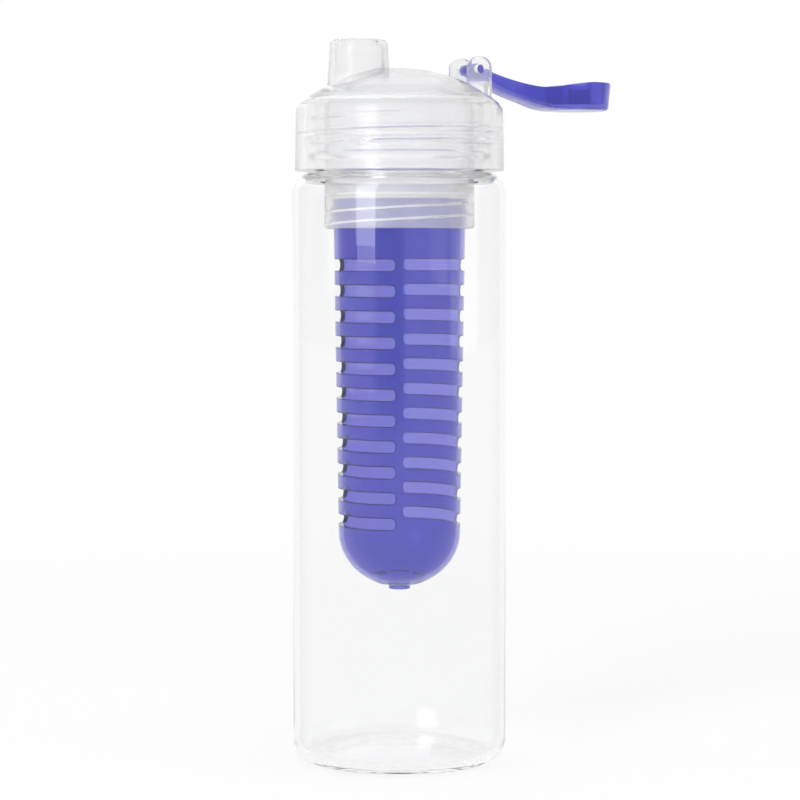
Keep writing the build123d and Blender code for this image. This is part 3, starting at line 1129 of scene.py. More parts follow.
def smooth_line(
    points: Sequence[tuple[float, float]], first: Vector, last: Vector, steps: int
) -> list[Vector]:
    """Points of a smooth curve through some points.

    Args:
        points: Points that the curve goes through.
        first: Direction of the curve at its first point.
        last: Direction of the curve at its last point.
        steps: Number of pieces between each two points.

    Returns:
        The curve's points, with both ends.
    """
    knots = [Vector(point) for point in points]
    middles = [(after - before).normalized() for before, after in zip(knots, knots[2:])]
    slopes = [first.normalized(), *middles, last.normalized()]
    curve = [knots[0]]
    for number, (here, there) in enumerate(zip(knots, knots[1:])):
        reach = (there - here).length
        for step in range(1, steps + 1):
            at = step / steps
            start_share = (1 + 2 * at) * (1 - at) ** 2
            curve.append(
                here * start_share
                + there * (1 - start_share)
                + slopes[number] * (reach * at * (1 - at) ** 2)
                - slopes[number + 1] * (reach * at**2 * (1 - at))
            )
    return curve


def plate(name: str, outline: Sequence[Vector], upright: bool, half: float) -> bpy.types.Object:
    """Draw a closed outline by extruding one point, fill it and thicken it to both sides.

    Args:
        name: Name of the new object.
        outline: Points of the outline, in order; X and Z where it is upright, X and Y where it lies flat.
        upright: Whether the outline stands in the XZ plane and not in the XY plane.
        half: Half the plate's thickness.

    Returns:
        The new object.
    """
    piece = draw_line(name, [Vector((x, 0, y) if upright else (x, y, 0)) for x, y in outline])
    bpy.ops.mesh.select_all(action="SELECT")
    bpy.ops.mesh.edge_face_add()
    side = Vector((0, half, 0) if upright else (0, 0, half)) * MM
    bpy.ops.mesh.extrude_region_move(TRANSFORM_OT_translate={"value": 2 * side})
    bpy.ops.mesh.select_all(action="SELECT")
    bpy.ops.transform.translate(value=-side)
    close_mesh(piece)
    return piece


@dataclass
class FlipCap:
    """Tinted flip cap: barrel with trunnions, channel-shaped arm, cup and plug ring.

    Its sizes are measured from the pin, along X and down along Z, with the cap opened.
    """

    pin_x: float = 27.9
    pin_z: float = 238.3
    reach: float = 43.5
    drop: float = 13.1
    arm_w: float = 9.0
    arm_wall: float = 1.6
    arm_web: float = 1.5
    flare_start: float = 14.79
    flare_end_deg: float = 115.0
    top_line: tuple[tuple[float, float], ...] = (
        (6.96, -1.05),
        (17.84, -3.93),
        (27.84, -5.37),
        (37.41, -4.06),
    )
    low_line: tuple[tuple[float, float], ...] = (
        (4.35, -3.93),
        (13.485, -8.12),
        (22.62, -10.87),
        (29.58, -12.58),
    )
    cup_end_r: float = 11.45
    cup_rim_r: float = 12.2
    cup_h: float = 9.7
    cup_wall: float = 1.55
    cup_end_wall: float = 1.6
    cup_round: float = 1.3
    plug_low_r: float = 5.5
    plug_tip_r: float = 4.9
    plug_h: float = 5.6
    plug_wall: float = 1.3
    barrel_r: float = 1.9
    trunnion_r: float = 1.5
    trunnion_reach: float = 7.0
    overrun: float = 2.0
    edge_round: float = 0.3
    rim_step: float = 0.04
    rim_over: float = 1.0
    blend_rise: float = 0.1
    draft_deg: float = 4.0
    low_steps: int = 7
    top_steps: int = 6
    plan_steps: int = 18
    cup_steps: int = 6
    room_steps: int = 4
    plug_steps: int = 3
    cup_sides: int = 112
    plug_sides: int = 64
    bar_sides: int = 56

    def build(self) -> bpy.types.Object:
        """Model the flip cap.

        Returns:
            The finished flip cap.
        """
        piece = self._arm_blank("flip_cap_shell", 0, 0)
        hollow = self._arm_blank("arm_hollow", self.arm_web, self.arm_wall)
        combine(hollow, self._pin_bar("barrel_room", self.barrel_r + self.arm_wall, self.reach), Joining.CUT)
        combine(piece, hollow, Joining.CUT)
        soften_edges(piece, self.edge_round, over_deg=40)
        cup = self._cup()
        combine(cup, self._over_arm(), Joining.CUT)
        combine(piece, cup, Joining.UNION)
        combine(piece, self._cup_room(), Joining.CUT)
        combine(piece, self._plug(), Joining.UNION)
        combine(piece, self._pin_bar("barrel", self.barrel_r, self.arm_w / 2), Joining.UNION)
        combine(piece, self._pin_bar("trunnions", self.trunnion_r, self.trunnion_reach), Joining.UNION)
        piece.data.materials.append(TINTED_CAP.material())
        finish_piece(piece, Body.CAP, ["flip_cap"])
        return piece

    def _side_outline(self, rise: float) -> list[Vector]:
        """Draw the side view of the arm.

        Args:
            rise: How far its lower edge is raised; a raised one is open upwards.

        Returns:
            Its outline, in X and Z.
        """
        lift = self.overrun if rise else 0
        ends = [(self.reach, rise - self.drop)]
        if not rise:
            blend_x = self.reach + self.cup_end_r * math.cos(math.radians(self.flare_end_deg))
            ends = [(blend_x, self.blend_rise - self.drop), (self.reach, self.cup_round - self.drop)]
        low = [(x, z + rise) for x, z in self.low_line] + ends
        start = Vector((0, rise - self.barrel_r))
        low_curve = smooth_line(low, Vector(low[0]) - start, Vector((1, 0)), self.low_steps)
        pin = Vector((self.pin_x, self.pin_z))
        return [point + pin for point in [start, *low_curve, *self._top_curve(lift)]]

    def _top_curve(self, lift: float) -> list[Vector]:
        """Draw the upper edge of the arm in side view.

        Args:
            lift: How far it is raised.

        Returns:
            Its points, from the middle of the cup back to the barrel.
        """
        top = [(self.reach, self.cup_h - self.drop - self.rim_step + lift)]
        top += [(x, z + lift) for x, z in reversed(self.top_line)] + [(0, self.barrel_r + lift)]
        return smooth_line(top, Vector((-1, -0.05)), Vector((-1, 0.5)), self.top_steps)

    def _over_arm(self) -> bpy.types.Object:
        """Model a cutter for all that stands above the arm's upper edge on the barrel's side of the cup.

        Returns:
            The cutter, which ends well above the cup.
        """
        above = self.cup_h
        points = [*self._top_curve(0), Vector((0, above)), Vector((self.reach, above))]
        pin = Vector((self.pin_x, self.pin_z))
        return plate("over_arm", [point + pin for point in points], True, self.cup_rim_r + self.overrun)

    def _plan_outline(self, inset: float) -> list[Vector]:
        """Draw the plan view of the arm and cup.

        Args:
            inset: How far it lies inside the edge.

        Returns:
            Its outline, in X and Y.
        """
        half, ring_r = self.arm_w / 2 - inset, self.cup_end_r - inset
        end = math.radians(self.flare_end_deg)
        steps = self.plan_steps
        meet = (self.reach + ring_r * math.cos(end), ring_r * math.sin(end))
        leave = Vector((math.sin(end), -math.cos(end)))
        flare = smooth_line([(self.flare_start, half), meet], Vector((1, 0)), leave, steps)
        side = [Vector((0, half)), *flare]
        for step in range(1, steps):
            turn = end * (1 - step / steps)
            side.append(Vector((self.reach + ring_r * math.cos(turn), ring_r * math.sin(turn))))
        other = [Vector((point.x, -point.y)) for point in reversed(side)]
        pin = Vector((self.pin_x, 0))
        return [point + pin for point in [*side, Vector((self.reach + ring_r, 0)), *other]]

    def _arm_blank(self, name: str, rise: float, inset: float) -> bpy.types.Object:
        """Model the solid that the side view and the plan view of the arm have in common.

        Args:
            name: Name of the new object.
            rise: How far the side view's lower edge is raised.
            inset: How far the plan view lies inside the edge.

        Returns:
            The solid.
        """
        blank = plate(name, self._side_outline(rise), True, self.cup_rim_r)
        plan = plate("arm_plan", self._plan_outline(inset), False, self.pin_z + self.overrun)
        combine(blank, plan, Joining.COMMON)
        return blank

    def _cup(self) -> bpy.types.Object:
        """Model the outside of the cup, with a rounded end edge and a softened rim.

        Returns:
            The cup, still full.
        """
        low_z, high_z = self.pin_z - self.drop, self.pin_z - self.drop + self.cup_h
        soft = self.edge_round
        corner = Ring(self.cup_end_r - self.cup_round, low_z + self.cup_round)
        outline = [Ring(0, low_z)]
        outline += arc(corner, self.cup_round, -90, -self.draft_deg, self.cup_steps)
        outline += [Ring(self.cup_rim_r, high_z - soft), Ring(self.cup_rim_r - soft / 3, high_z - soft / 3)]
        outline += [Ring(self.cup_rim_r - soft, high_z), Ring(0, high_z)]
        return turned("cup", outline, self.cup_sides, self.pin_x + self.reach)

    def _cup_room(self) -> bpy.types.Object:
        """Model the cutter for the room inside the cup.

        Returns:
            The cutter.
        """
        low_z = self.pin_z - self.drop + self.cup_end_wall
        high_z = self.pin_z - self.drop + self.cup_h
        low_r, high_r = self.cup_end_r - self.cup_wall, self.cup_rim_r - self.cup_wall
        soft = self.cup_wall / 2
        wide_r, over_z = high_r + soft / 2, high_z + self.rim_over
        outline = [Ring(0, low_z)]
        outline += arc(Ring(low_r - soft, low_z + soft), soft, -90, -self.draft_deg, self.room_steps)
        outline += [Ring(high_r, high_z - soft / 2), Ring(wide_r, high_z)]
        outline += [Ring(wide_r, over_z), Ring(0, over_z)]
        return turned("cup_room", outline, self.cup_sides, self.pin_x + self.reach)

    def _plug(self) -> bpy.types.Object:
        """Model the plug ring that enters the drink hole when the cap is closed.

        Returns:
            The ring.
        """
        end_z = self.pin_z - self.drop + self.cup_end_wall
        low_z, high_z = end_z - self.cup_end_wall / 2, end_z + self.plug_h
        soft = self.plug_wall / 4
        outline = [Ring(self.plug_low_r - self.plug_wall, low_z), Ring(self.plug_low_r, low_z)]
        tip_z, inner_r = high_z - soft, self.plug_tip_r - self.plug_wall
        outline += arc(Ring(self.plug_tip_r - soft, tip_z), soft, 0, 90, self.plug_steps)
        outline += arc(Ring(inner_r + soft, tip_z), soft, 90, 180, self.plug_steps)
        return turned("plug", outline, self.plug_sides, self.pin_x + self.reach)

    def _pin_bar(self, name: str, radius: float, half: float) -> bpy.types.Object:
        """Model a round bar along the pin, with softened ends.

        Args:
            name: Name of the new object.
            radius: Its radius.
            half: Half its length.

        Returns:
            The bar.
        """
        bar = bar_along_y(name, radius, half, (self.pin_x, 0, self.pin_z), self.bar_sides)
        soften_edges(bar, self.edge_round, over_deg=60)
        return bar


def new_group(name: str, inputs: dict[str, str], outputs: Sequence[str]) -> tuple:
    """Start a shader node group that several finishes share.

    Args:
        name: Name of the group.
        inputs: Type of each input socket by its name.
        outputs: Names of the output sockets, which all give numbers.

    Returns:
        The group's tree, the sockets of its input node and those of its output node.
    """
    tree = bpy.data.node_groups.new(name, "ShaderNodeTree")
    for label, kind in inputs.items():
        tree.interface.new_socket(name=label, in_out="INPUT", socket_type=kind)
    for label in outputs:
        tree.interface.new_socket(name=label, in_out="OUTPUT", socket_type=NUMBER)
    return tree, tree.nodes.new("NodeGroupInput").outputs, tree.nodes.new("NodeGroupOutput").inputs


def feed(tree: bpy.types.NodeTree, socket: bpy.types.NodeSocket, value: Value) -> None:
    """Link another node's output to a socket, or set a plain value there.

    Args:
        tree: Tree that both are in.
        socket: Socket that gets the value.
        value: The output, number or vector.
    """
    if isinstance(value, bpy.types.NodeSocket):
        tree.links.new(value, socket)
    else:
        socket.default_value = value


def calc(tree: bpy.types.NodeTree, way: str, *values: Value) -> bpy.types.NodeSocket:
    """Add a Math node to a tree.

    Args:
        tree: Tree that gets the node.
        way: Operation of the node.
        values: Its inputs, sockets or numbers.

    Returns:
        The node's output.
    """
    node = tree.nodes.new("ShaderNodeMath")
    node.operation = way
    for socket, value in zip(node.inputs, values):
        feed(tree, socket, value)
    return node.outputs[0]


def vector_calc(
    tree: bpy.types.NodeTree, way: str, *values: Value, scale: Value | None = None
) -> bpy.types.NodeSocket:
    """Add a Vector Math node to a tree.

    Args:
        tree: Tree that gets the node.
        way: Operation of the node.
        values: Its vector inputs, sockets or vectors.
        scale: Its number, for the operation that scales.

    Returns:
        The node's output: a number for a length, and a vector otherwise.
    """
    node = tree.nodes.new("ShaderNodeVectorMath")
    node.operation = way
    for socket, value in zip(node.inputs, values):
        feed(tree, socket, value)
    if scale is not None:
        feed(tree, node.inputs["Scale"], scale)
    return node.outputs["Value" if way == "LENGTH" else "Vector"]


def axes(tree: bpy.types.NodeTree, vector: bpy.types.NodeSocket) -> list[bpy.types.NodeSocket]:
    """Split a vector into its parts along X, Y and Z.

    Args:
        tree: Tree that gets the node.
        vector: The vector.

    Returns:
        The three parts.
    """
    node = tree.nodes.new("ShaderNodeSeparateXYZ")
    tree.links.new(vector, node.inputs["Vector"])
    return list(node.outputs)


def noise(
    tree: bpy.types.NodeTree, place: bpy.types.NodeSocket, scale: Value, detail: float
) -> bpy.types.NodeSocket:
    """Add a Noise Texture node to a tree.

    Args:
        tree: Tree that gets the node.
        place: Place on the piece.
        scale: How often the noise changes in a metre.
        detail: Number of finer layers.

    Returns:
        The noise, from 0 to 1.
    """
    node = tree.nodes.new("ShaderNodeTexNoise")
    for label, value in (("Vector", place), ("Scale", scale), ("Detail", detail)):
        feed(tree, node.inputs[label], value)
    return node.outputs["Fac"]


def smooth_step(
    tree: bpy.types.NodeTree, value: bpy.types.NodeSocket, limits: tuple[float, float], lowest: float = 0.0
) -> bpy.types.NodeSocket:
    """Add a Map Range node that goes smoothly up to 1.

    Args:
        tree: Tree that gets the node.
        value: Value that is followed.
        limits: Its values where the result is lowest and where it is 1.
        lowest: The lowest result.

    Returns:
        The result.
    """
    node = tree.nodes.new("ShaderNodeMapRange")
    node.interpolation_type = "SMOOTHSTEP"
    settings = {"Value": value, "From Min": limits[0], "From Max": limits[1], "To Min": lowest}
    for label, setting in settings.items():
        feed(tree, node.inputs[label], setting)
    return node.outputs["Result"]


def share_where(tree: bpy.types.NodeTree, mask: bpy.types.NodeSocket, share: float) -> bpy.types.NodeSocket:
    """Add a number that goes from 1 to a share as a mask goes from 0 to 1."""
    return calc(tree, "MULTIPLY_ADD", mask, share - 1.0, 1.0)


@cache
def grain_group() -> bpy.types.NodeTree:
    """Make the fine grain of a mould's surface: a height from 0 to 1, and a tone that varies about 1.

    Returns:
        The group's tree.
    """
    sockets = {"Place": VECTOR, "Grains Per Metre": NUMBER, "Tone Change": NUMBER}
    tree, given, result = new_group("moulded_grain", sockets, ("Height", "Tone"))
    place, grains = given["Place"], given["Grains Per Metre"]
    tree.links.new(noise(tree, place, grains, detail=3.0), result["Height"])
    coarse = noise(tree, place, calc(tree, "DIVIDE", grains, GRAINS_PER_PATCH), detail=2.0)
    around = calc(tree, "SUBTRACT", coarse, 0.5)
    tree.links.new(calc(tree, "MULTIPLY_ADD", around, given["Tone Change"], 1.0), result["Tone"])
    return tree


@cache
def flow_group() -> bpy.types.NodeTree:
    """Make the slow unevenness that blowing or moulding leaves, drawn out in height.

    Returns:
        The group's tree.
    """
    sockets = {"Place": VECTOR, "Waves Per Metre": NUMBER}
    tree, given, result = new_group("moulded_flow", sockets, ("Height",))
    drawn_out = vector_calc(tree, "MULTIPLY", given["Place"], FLOW_STRETCH)
    waves = noise(tree, drawn_out, given["Waves Per Metre"], detail=1.0)
    tree.links.new(waves, result["Height"])
    return tree


@cache
def handling_group() -> bpy.types.NodeTree:
    """Make faint smudges and scuffs from handling, as a mask from 0 to 1.

    Returns:
        The group's tree.
    """
    tree, given, result = new_group("handling_marks", {"Place": VECTOR}, ("Mask",))
    patches = noise(tree, given["Place"], SMUDGES_PER_METRE, detail=2.0)
    streaks = noise(tree, given["Place"], SCUFFS_PER_METRE, detail=4.0)
    both = calc(tree, "MULTIPLY", patches, streaks)
    mask = calc(tree, "MULTIPLY_ADD", both, MARK_CONTRAST, -MARK_START)
    tree.links.new(calc(tree, "MINIMUM", calc(tree, "MAXIMUM", mask, 0.0), 1.0), result["Mask"])
    return tree


@dataclass(frozen=True)
class SlotShadeMasks:
    """Painted shade at the infuser's slots: a deep strip beside them, and their dark cut faces and rims.

    Each pair of limits says where a shade starts and where it is full.
    """

    infuser: Infuser
    # Painted shade: where the front strip starts and where it is full, as cosines of the angle to its middle.
    front_shade_limits: tuple[float, float] = (0.962, 0.99)
    # Painted shade: limits of the dark cut faces and of the dark line along each slot's rim.
    cut_shade_limits: tuple[float, float] = (0.75, 0.35)
    rim_shade_limits: tuple[float, float] = (0.42, 0.18)
    row_fade: float = 1.0

    def group(self) -> bpy.types.NodeTree:
        """Make the painted shade, as masks from 0 to 1.

        Returns:
            The group's tree.
        """
        sizes = self.infuser
        sockets = {"Place": VECTOR, "Normal": VECTOR}
        tree, given, result = new_group("painted_slot_shade", sockets, ("Strip", "EdgeShade"))
        x, y, z = axes(tree, vector_calc(tree, "SCALE", given["Place"], scale=1 / MM))
        radius = calc(tree, "SQRT", calc(tree, "MULTIPLY_ADD", y, y, calc(tree, "MULTIPLY", x, x)))

        def share(other_x: Value, other_y: Value) -> bpy.types.NodeSocket:
            """Cosine of the angle, seen from above, between the place and another direction."""
            dot = calc(tree, "MULTIPLY_ADD", y, other_y, calc(tree, "MULTIPLY", x, other_x))
            return calc(tree, "DIVIDE", dot, radius)

        # Painted shade: the strip on the side facing the camera, fading out lower down.
        strip_turn = math.radians(sizes.front_shade_deg)
        strip = smooth_step(tree, share(math.cos(strip_turn), math.sin(strip_turn)), self.front_shade_limits)
        high = smooth_step(tree, z, (sizes.front_shade_fade_z, sizes.front_shade_full_z))
        tree.links.new(calc(tree, "MULTIPLY", strip, high), result["Strip"])

        # Painted shade: dark cut faces and a dark line along each slot's rim, within the rows of slots.
        normal_x, normal_y, _ = axes(tree, given["Normal"])
        cut = smooth_step(tree, calc(tree, "ABSOLUTE", share(normal_x, normal_y)), self.cut_shade_limits)
        from_slot = self._from_slot(tree, radius, z, share)
        rim = smooth_step(tree, from_slot, self.rim_shade_limits)
        first_z = sizes.top_z - sizes.slot_drop + sizes.slot_pitch / 2
        last_z = first_z - sizes.slot_count * sizes.slot_pitch
        above = smooth_step(tree, z, (last_z, last_z + self.row_fade))
        rows = calc(tree, "MULTIPLY", above, smooth_step(tree, z, (first_z, first_z - self.row_fade)))
        dark = calc(tree, "MULTIPLY", calc(tree, "MAXIMUM", cut, rim), rows)
        tree.links.new(dark, result["EdgeShade"])
        return tree

    def _from_slot(
        self,
        tree: bpy.types.NodeTree,
        radius: bpy.types.NodeSocket,
        z: bpy.types.NodeSocket,
        share: Callable[[Value, Value], bpy.types.NodeSocket],
    ) -> bpy.types.NodeSocket:
        """Measure how far a place is from the outline of its slot, along the wall.

        Args:
            tree: Tree that gets the nodes.
            radius: Distance from the axis, in millimetres.
            z: Height, in millimetres.
            share: Gives the cosine of the angle to a direction.

        Returns:
            The distance, in millimetres.
        """
        sizes = self.infuser
        slot_turn = math.radians(sizes.slot_middle_deg)
        aside = calc(tree, "ABSOLUTE", share(-math.sin(slot_turn), math.cos(slot_turn)))
        along = calc(tree, "MULTIPLY", calc(tree, "ARCSINE", aside), radius)
        half_h = sizes.slot_h / 2
        straight = calc(tree, "MULTIPLY_ADD", radius, -math.radians(sizes.slot_arc_deg / 2), half_h)
        past = calc(tree, "MAXIMUM", calc(tree, "ADD", along, straight), 0.0)
        first_z = sizes.top_z - sizes.slot_drop + sizes.slot_pitch / 2
        row = calc(tree, "FRACT", calc(tree, "DIVIDE", calc(tree, "SUBTRACT", first_z, z), sizes.slot_pitch))
        level = calc(tree, "MULTIPLY", calc(tree, "SUBTRACT", row, 0.5), sizes.slot_pitch)
        square = calc(tree, "MULTIPLY_ADD", past, past, calc(tree, "MULTIPLY", level, level))
        return calc(tree, "ABSOLUTE", calc(tree, "SUBTRACT", calc(tree, "SQRT", square), half_h))


@dataclass(frozen=True)
class Finish:
    """A moulded plastic or silicone: its colour, clearness, the marks of its mould and painted shade towards
    its silhouettes.
    """

    name: str
    colour: tuple[float, float, float]
    roughness: float
    transmission: float
    ior: float
    grains_per_metre: float
    grain_depth: float
    waves_per_metre: float
    wave_depth: float
    tone_change: float
    mark_roughness: float
    shadow_share: float
    # Painted shade: the colour darkens to this share where the surface turns away from the view.
    grazing_shade_tone: float = 1.0
    grazing_shade_limits: tuple[float, float] = (0.45, 0.9)
    subsurface: float = 0.0
    subsurface_reach: float = 0.002

    @cache
    def material(self) -> bpy.types.Material:
        """Make the material of this finish, the first time that it is asked for.

        Returns:
            The material.
        """
        made = bpy.data.materials.new(self.name)
        made.use_nodes = True
        tree = made.node_tree
        coords = tree.nodes.new("ShaderNodeTexCoord").outputs
        grains = {"Grains Per Metre": self.grains_per_metre, "Tone Change": self.tone_change}
        grain = use_group(tree, grain_group(), coords["Object"], grains)
        flow = use_group(tree, flow_group(), coords["Object"], {"Waves Per Metre": self.waves_per_metre})
        marks = use_group(tree, handling_group(), coords["Object"], {})
        # Painted shade at grazing angles, read from the Layer Weight's facing.
        facing = tree.nodes.new("ShaderNodeLayerWeight").outputs["Facing"]
        edge = share_where(tree, smooth_step(tree, facing, self.grazing_shade_limits), self.grazing_shade_tone)
        shadow_ray = tree.nodes.new("ShaderNodeLightPath").outputs["Is Shadow Ray"]
        wavy = bump(tree, flow["Height"], self.wave_depth)
        values = {
            "Base Color": self._colour(tree, coords, calc(tree, "MULTIPLY", grain["Tone"], edge)),
            "Roughness": calc(tree, "MULTIPLY_ADD", marks["Mask"], self.mark_roughness, self.roughness),
            "Normal": bump(tree, grain["Height"], self.grain_depth, wavy),
            "Alpha": share_where(tree, shadow_ray, self.shadow_share),
            "Transmission Weight": self.transmission,
            "IOR": self.ior,
            "Subsurface Weight": self.subsurface,
            "Subsurface Scale": self.subsurface_reach,
        }
        shader = tree.nodes["Principled BSDF"]
        for label, value in values.items():
            feed(tree, shader.inputs[label], value)
        return made

    def _colour(
        self, tree: bpy.types.NodeTree, coords: bpy.types.bpy_prop_collection, tone: bpy.types.NodeSocket
    ) -> bpy.types.NodeSocket:
        """Add the colour of the plastic, a little uneven and with the painted shade at grazing angles."""
        return vector_calc(tree, "SCALE", self.colour, scale=tone)


@dataclass(frozen=True)
class FrostedFinish(Finish):
    """A milky plastic, a little darker where it stands up above the dome's foot; that darkening is painted
    shade.
    """

    # Painted shade above: the share of the colour that is kept, and the heights in metres over which it comes
    # in.
    upper_shade_tone: float = 0.92
    upper_shade_limits: tuple[float, float] = (0.231, 0.237)

    def _colour(
        self, tree: bpy.types.NodeTree, coords: bpy.types.bpy_prop_collection, tone: bpy.types.NodeSocket
    ) -> bpy.types.NodeSocket:
        """Add the colour of the plastic, a little uneven, with painted shade above.

        Args:
            tree: Tree of the material.
            coords: Outputs of its Texture Coordinate node.
            tone: Evenness of the colour, about 1, times the painted shade at grazing angles.

        Returns:
            The colour.
        """
        # Painted shade: the colour darkens above these heights.
        high = smooth_step(tree, axes(tree, coords["Object"])[2], self.upper_shade_limits)
        upper = share_where(tree, high, self.upper_shade_tone)
        return vector_calc(tree, "SCALE", self.colour, scale=calc(tree, "MULTIPLY", tone, upper))


@dataclass(frozen=True)
class SlottedFinish(Finish):
    """A tinted plastic with painted shade: deeper in colour in a strip beside the slots and on their cut
    faces and rims.
    """

    # Painted shade: colour shares in the front strip.
    front_shade_tint: tuple[float, float, float] = (0.3, 0.43, 0.86)
    # Share of the colour left in the painted shade at the slots' cut faces and rims.
    slot_edge_shade_tone: float = 0.22

    def _colour(
        self, tree: bpy.types.NodeTree, coords: bpy.types.bpy_prop_collection, tone: bpy.types.NodeSocket
    ) -> bpy.types.NodeSocket:
        """Add the colour of the plastic, a little uneven, with painted shade at the slots.

        Args:
            tree: Tree of the material.
            coords: Outputs of its Texture Coordinate node.
            tone: Evenness of the colour, about 1, times the painted shade at grazing angles.

        Returns:
            The colour.
        """
        group = SlotShadeMasks(Infuser()).group()
        marks = use_group(tree, group, coords["Object"], {"Normal": coords["Normal"]})
        # Painted shade: the front strip deepens the colour.
        deeper = [share - 1 for share in self.front_shade_tint]
        tint = vector_calc(tree, "MULTIPLY_ADD", deeper, marks["Strip"], (1, 1, 1))
        # Painted shade: the slots' cut faces and rims darken the colour.
        cut = share_where(tree, marks["EdgeShade"], self.slot_edge_shade_tone)
        plain = vector_calc(tree, "MULTIPLY", self.colour, tint)
        return vector_calc(tree, "SCALE", plain, scale=calc(tree, "MULTIPLY", tone, cut))


def use_group(
    tree: bpy.types.NodeTree, group: bpy.types.NodeTree, place: bpy.types.NodeSocket, values: dict[str, Value]
) -> bpy.types.bpy_prop_collection:
    """Place a shared group in a material.

    Args:
        tree: Tree of the material.
        group: The group's tree.
        place: Place on the piece.
        values: Its other inputs by their names.

    Returns:
        The outputs of the group's node.
    """
    node = tree.nodes.new("ShaderNodeGroup")
    node.node_tree = group
    for label, value in {"Place": place, **values}.items():
        feed(tree, node.inputs[label], value)
    return node.outputs


def bump(
    tree: bpy.types.NodeTree,
    height: bpy.types.NodeSocket,
    depth: float,
    under: bpy.types.NodeSocket | None = None,
) -> bpy.types.NodeSocket:
    """Add the normal of a bumpy surface.

    Args:
        tree: Tree of the material.
        height: Height of the bumps, from 0 to 1.
        depth: Their depth, in millimetres.
        under: Normal of another bumpy surface that this one is laid over.

    Returns:
        The normal.
    """
    node = tree.nodes.new("ShaderNodeBump")
    node.inputs["Distance"].default_value = depth * MM
    tree.links.new(height, node.inputs["Height"])
    if under:
        tree.links.new(under, node.inputs["Normal"])
    return node.outputs["Normal"]


CLEAR_PLASTIC = Finish(
    name="clear_copolyester",
    colour=(0.972, 0.974, 0.975),
    roughness=0.0,
    transmission=1.0,
    ior=1.36,
    grains_per_metre=2600,
    grain_depth=0.0002,
    waves_per_metre=22,
    wave_depth=0.05,
    tone_change=0.004,
    mark_roughness=0.004,
    shadow_share=0.12,
    # Painted shade towards the silhouettes.
    grazing_shade_tone=0.86,
)
FROSTED_PLASTIC = FrostedFinish(
    name="frosted_polypropylene",
    colour=(0.98, 0.98, 0.985),
    roughness=0.1,
    transmission=0.82,
    ior=1.25,
    grains_per_metre=5200,
    grain_depth=0.0008,
    waves_per_metre=60,
    wave_depth=0.02,
    tone_change=0.01,
    mark_roughness=0.05,
    shadow_share=0.22,
    # Painted shade towards the silhouettes.
    grazing_shade_tone=0.85,
)
# A whiter, less clear finish: a painted highlight on the collar's thread crests, and the milky ledge of the
# collar.
LEDGE_WHITE_AND_CREST_HIGHLIGHT = Finish(
    name="ledge_white_and_crest_highlight",
    colour=(0.985, 0.985, 0.99),
    roughness=0.3,
    transmission=0.3,
    ior=1.25,
    grains_per_metre=5200,
    grain_depth=0.0015,
    waves_per_metre=60,
    wave_depth=0.02,
    tone_change=0.01,
    mark_roughness=0.05,
    shadow_share=0.3,
)
TINTED_INFUSER = SlottedFinish(
    name="tinted_infuser_plastic",
    colour=(0.215, 0.21, 0.7),
    roughness=0.008,
    transmission=0.93,
    ior=1.45,
    grains_per_metre=4200,
    grain_depth=0.0002,
    waves_per_metre=45,
    wave_depth=0.02,
    tone_change=0.05,
    mark_roughness=0.01,
    shadow_share=0.5,
)
TINTED_CAP = Finish(
    name="tinted_cap_plastic",
    colour=(0.19, 0.185, 0.72),
    roughness=0.14,
    transmission=0.86,
    ior=1.42,
    grains_per_metre=4200,
    grain_depth=0.0006,
    waves_per_metre=60,
    wave_depth=0.02,
    tone_change=0.06,
    mark_roughness=0.1,
    shadow_share=0.5,
)
SILICONE = Finish(
    name="soft_silicone",
    colour=(0.95, 0.95, 0.95),
    roughness=0.5,
    transmission=0.2,
    ior=1.42,
    grains_per_metre=3800,
    grain_depth=0.004,
    waves_per_metre=120,
    wave_depth=0.01,
    tone_change=0.03,
    mark_roughness=0.06,
    shadow_share=0.6,
    subsurface=0.3,
)


def turned_to(place: Sequence[float], aim: Sequence[float]) -> Euler:
    """Turn of a lamp or camera that looks from one place at another."""
    return (Vector(aim) - Vector(place)).to_track_quat("-Z", "Y").to_euler()


@dataclass(frozen=True)
class Lamp:
    """A soft rectangular lamp that is turned to the object."""

    name: str
    place: tuple[float, float, float]
    size: tuple[float, float]
    watts: float
    aim: tuple[float, float, float] = (0.0, 0.0, 0.2)

    def build(self) -> None:
        """Add the lamp to the scene."""
        clear_selection()
        bpy.ops.object.light_add(type="AREA", location=self.place)
        lamp = bpy.context.object
        lamp.name = self.name
        lamp.data.shape = "RECTANGLE"
        lamp.data.size, lamp.data.size_y = self.size
        lamp.data.energy = self.watts
        lamp.rotation_euler = turned_to(self.place, self.aim)


